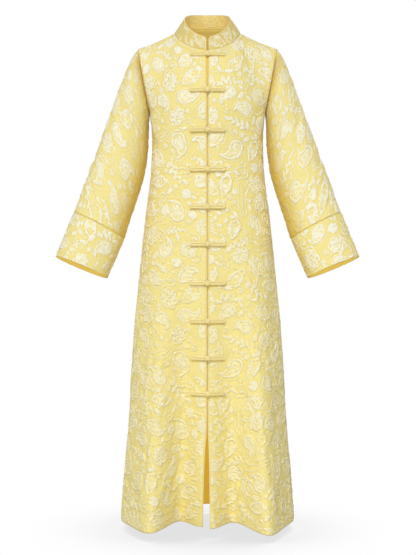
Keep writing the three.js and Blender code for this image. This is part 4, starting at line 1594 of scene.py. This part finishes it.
def make_knot():
    """The knot's cord joined to a core that is modelled from a ball."""
    bpy.ops.object.select_all(action="DESELECT")
    bpy.ops.mesh.primitive_uv_sphere_add(segments=20, ring_count=12,
                                         radius=(KNOT_RADIUS - 1.6) * MM)
    core = bpy.context.object
    bpy.ops.object.mode_set(mode="EDIT")
    bpy.ops.mesh.select_all(action="SELECT")
    bpy.ops.transform.resize(value=(1, 1, 0.94))
    bpy.ops.object.mode_set(mode="OBJECT")
    core.data.uv_layers[0].name = "flat"
    core.data.materials.append(silk_cord)
    bpy.ops.object.shade_smooth()
    cord = tube("knot_cord", knot_path(), KNOT_CORD_RADIUS, sides=8, closed=True)
    return join("knot", [core, cord])


knot = make_knot()
print("knot:", len(knot.data.polygons), "faces")

# %% Ten frogs
def knot_copy(z, turn):
    """The knot at a height on the centre front, turned a little."""
    spot = on_front(left_points, left_normals, 6, z, KNOT_RADIUS + 0.2)
    mesh = knot.data.copy()
    points = np.empty(len(mesh.vertices) * 3)
    mesh.vertices.foreach_get("co", points)
    points = points.reshape(-1, 3)
    c, s = math.cos(turn), math.sin(turn)
    points = points @ np.array([[1, 0, 0], [0, 0, 1], [0, -1, 0]])
    points = points @ np.array([[c, 0, s], [0, 1, 0], [-s, 0, c]])
    points += np.array([0, spot[1], z]) * MM
    mesh.vertices.foreach_set("co", points.ravel())
    return new_object("knot_copy", mesh)


for number, z in enumerate(FROG_HEIGHTS, start=1):
    label = f"frog_{number:02d}"
    button = tube("bar", bar_path(LEFT, z, BUTTON_START), CORD_RADIUS)
    button = join(label + "_button_cord", [button, knot_copy(z, 0.4 * number)])
    place(button, "frog_cord")
    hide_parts(label + "_button")
    loop = tube(label + "_loop_cord", bar_path(RIGHT, z, LOOP_START), CORD_RADIUS)
    place(loop, "frog_cord")
    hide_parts(label + "_loop")
bpy.data.objects.remove(knot)
print("frogs:", len(FROG_HEIGHTS))

# %% [markdown]

# %% [markdown]
# ## The stage
#
# The photograph has a white ground and a faint soft shadow on it just below the hem.
# The floor looks plain white, so that it has no horizon, and greys a little where the
# dress hides the light from it.

# %% Floor
FLOOR_Z = -1.312


def seen_apart(tree, for_light, for_camera, output):
    """One shader for the light that a surface gives and one for how it is seen."""
    ray_kind = add(tree, "ShaderNodeLightPath")
    choose = add(tree, "ShaderNodeMixShader")
    tree.links.new(ray_kind.outputs["Is Camera Ray"], choose.inputs[0])
    tree.links.new(for_light.outputs[0], choose.inputs[1])
    tree.links.new(for_camera.outputs[0], choose.inputs[2])
    tree.links.new(choose.outputs[0], tree.nodes[output].inputs["Surface"])


bpy.ops.object.select_all(action="DESELECT")
bpy.ops.mesh.primitive_circle_add(vertices=96, radius=6, fill_type="NGON",
                                  location=(0, 0, FLOOR_Z))
floor = bpy.context.object
floor.name = "floor"
bpy.ops.object.transform_apply(location=True, rotation=False, scale=False)

floor_material = bpy.data.materials.new("white_floor")
floor_material.use_nodes = True
tree = floor_material.node_tree
matte = tree.nodes["Principled BSDF"]
matte.inputs["Base Color"].default_value = (0.55, 0.55, 0.55, 1)
matte.inputs["Roughness"].default_value = 0.9
hidden = add(tree, "ShaderNodeAmbientOcclusion", samples=16)
hidden.inputs["Distance"].default_value = 0.4
shadow = add(tree, "ShaderNodeMapRange")
shadow.inputs["From Min"].default_value = 0.45
shadow.inputs["From Max"].default_value = 0.92
shadow.inputs["To Min"].default_value = 0.76
tree.links.new(hidden.outputs["AO"], shadow.inputs["Value"])
white = add(tree, "ShaderNodeEmission")
tree.links.new(shadow.outputs[0], white.inputs["Strength"])
seen_apart(tree, matte, white, "Material Output")
floor.data.materials.append(floor_material)

# %% [markdown]
# ## The lights
#
# A warm white room lights the dress from all sides and is itself seen as plain white.
# A key light from above and four wide soft lights shape the folds and the relief, and
# a low lamp before the hem keeps the bottom of the skirt as bright as in the photograph.

# %% Lights
world = bpy.data.worlds.new("studio")
world.use_nodes = True
world_tree = world.node_tree
background = world_tree.nodes["Background"]
background.inputs["Color"].default_value = (1, 0.93, 0.76, 1)
background.inputs["Strength"].default_value = 0.35
seen = add(world_tree, "ShaderNodeBackground")
seen.inputs["Color"].default_value = (1, 1, 1, 1)
seen_apart(world_tree, background, seen, "World Output")
bpy.context.scene.world = world
bpy.context.scene.view_settings.view_transform = "Standard"

SOFTBOXES = [
    # name, where it comes from, how wide it looks in degrees, strength
    ("key", (-0.6, -2.2, 2.1), 14, 1.46),
    ("low", (0.3, -2.5, -1.2), 60, 1.1),
    ("left_side", (2.5, -1.5, -0.5), 60, 0.7),
    ("right_side", (-2.5, -1.5, -0.5), 60, 0.8),
    ("behind", (0.3, 2.6, 0.35), 60, 1.9),
]
for name, spot, wide, strength in SOFTBOXES:
    light = bpy.data.lights.new(name, "SUN")
    light.angle, light.energy = math.radians(wide), strength
    lamp = new_object(name, light)
    lamp.location = spot
    lamp.rotation_euler = Vector(spot).to_track_quat("Z", "Y").to_euler()
print("lights:", [row[0] for row in SOFTBOXES])

# %% A low lamp
foot = bpy.data.lights.new("foot", "AREA")
foot.shape = "RECTANGLE"
foot.size, foot.size_y = 1.4, 0.25
foot.energy = 3.1
foot.color = (1.0, 0.985, 0.94)
lamp = new_object("foot", foot)
lamp.location = (0.1, -1.35, -1.2)
lamp.rotation_euler = (Vector((0, 0, -1.05)) - lamp.location).to_track_quat(
    "-Z", "Y").to_euler()
lamp.visible_camera = False
print("low lamp:", foot.energy, "W")
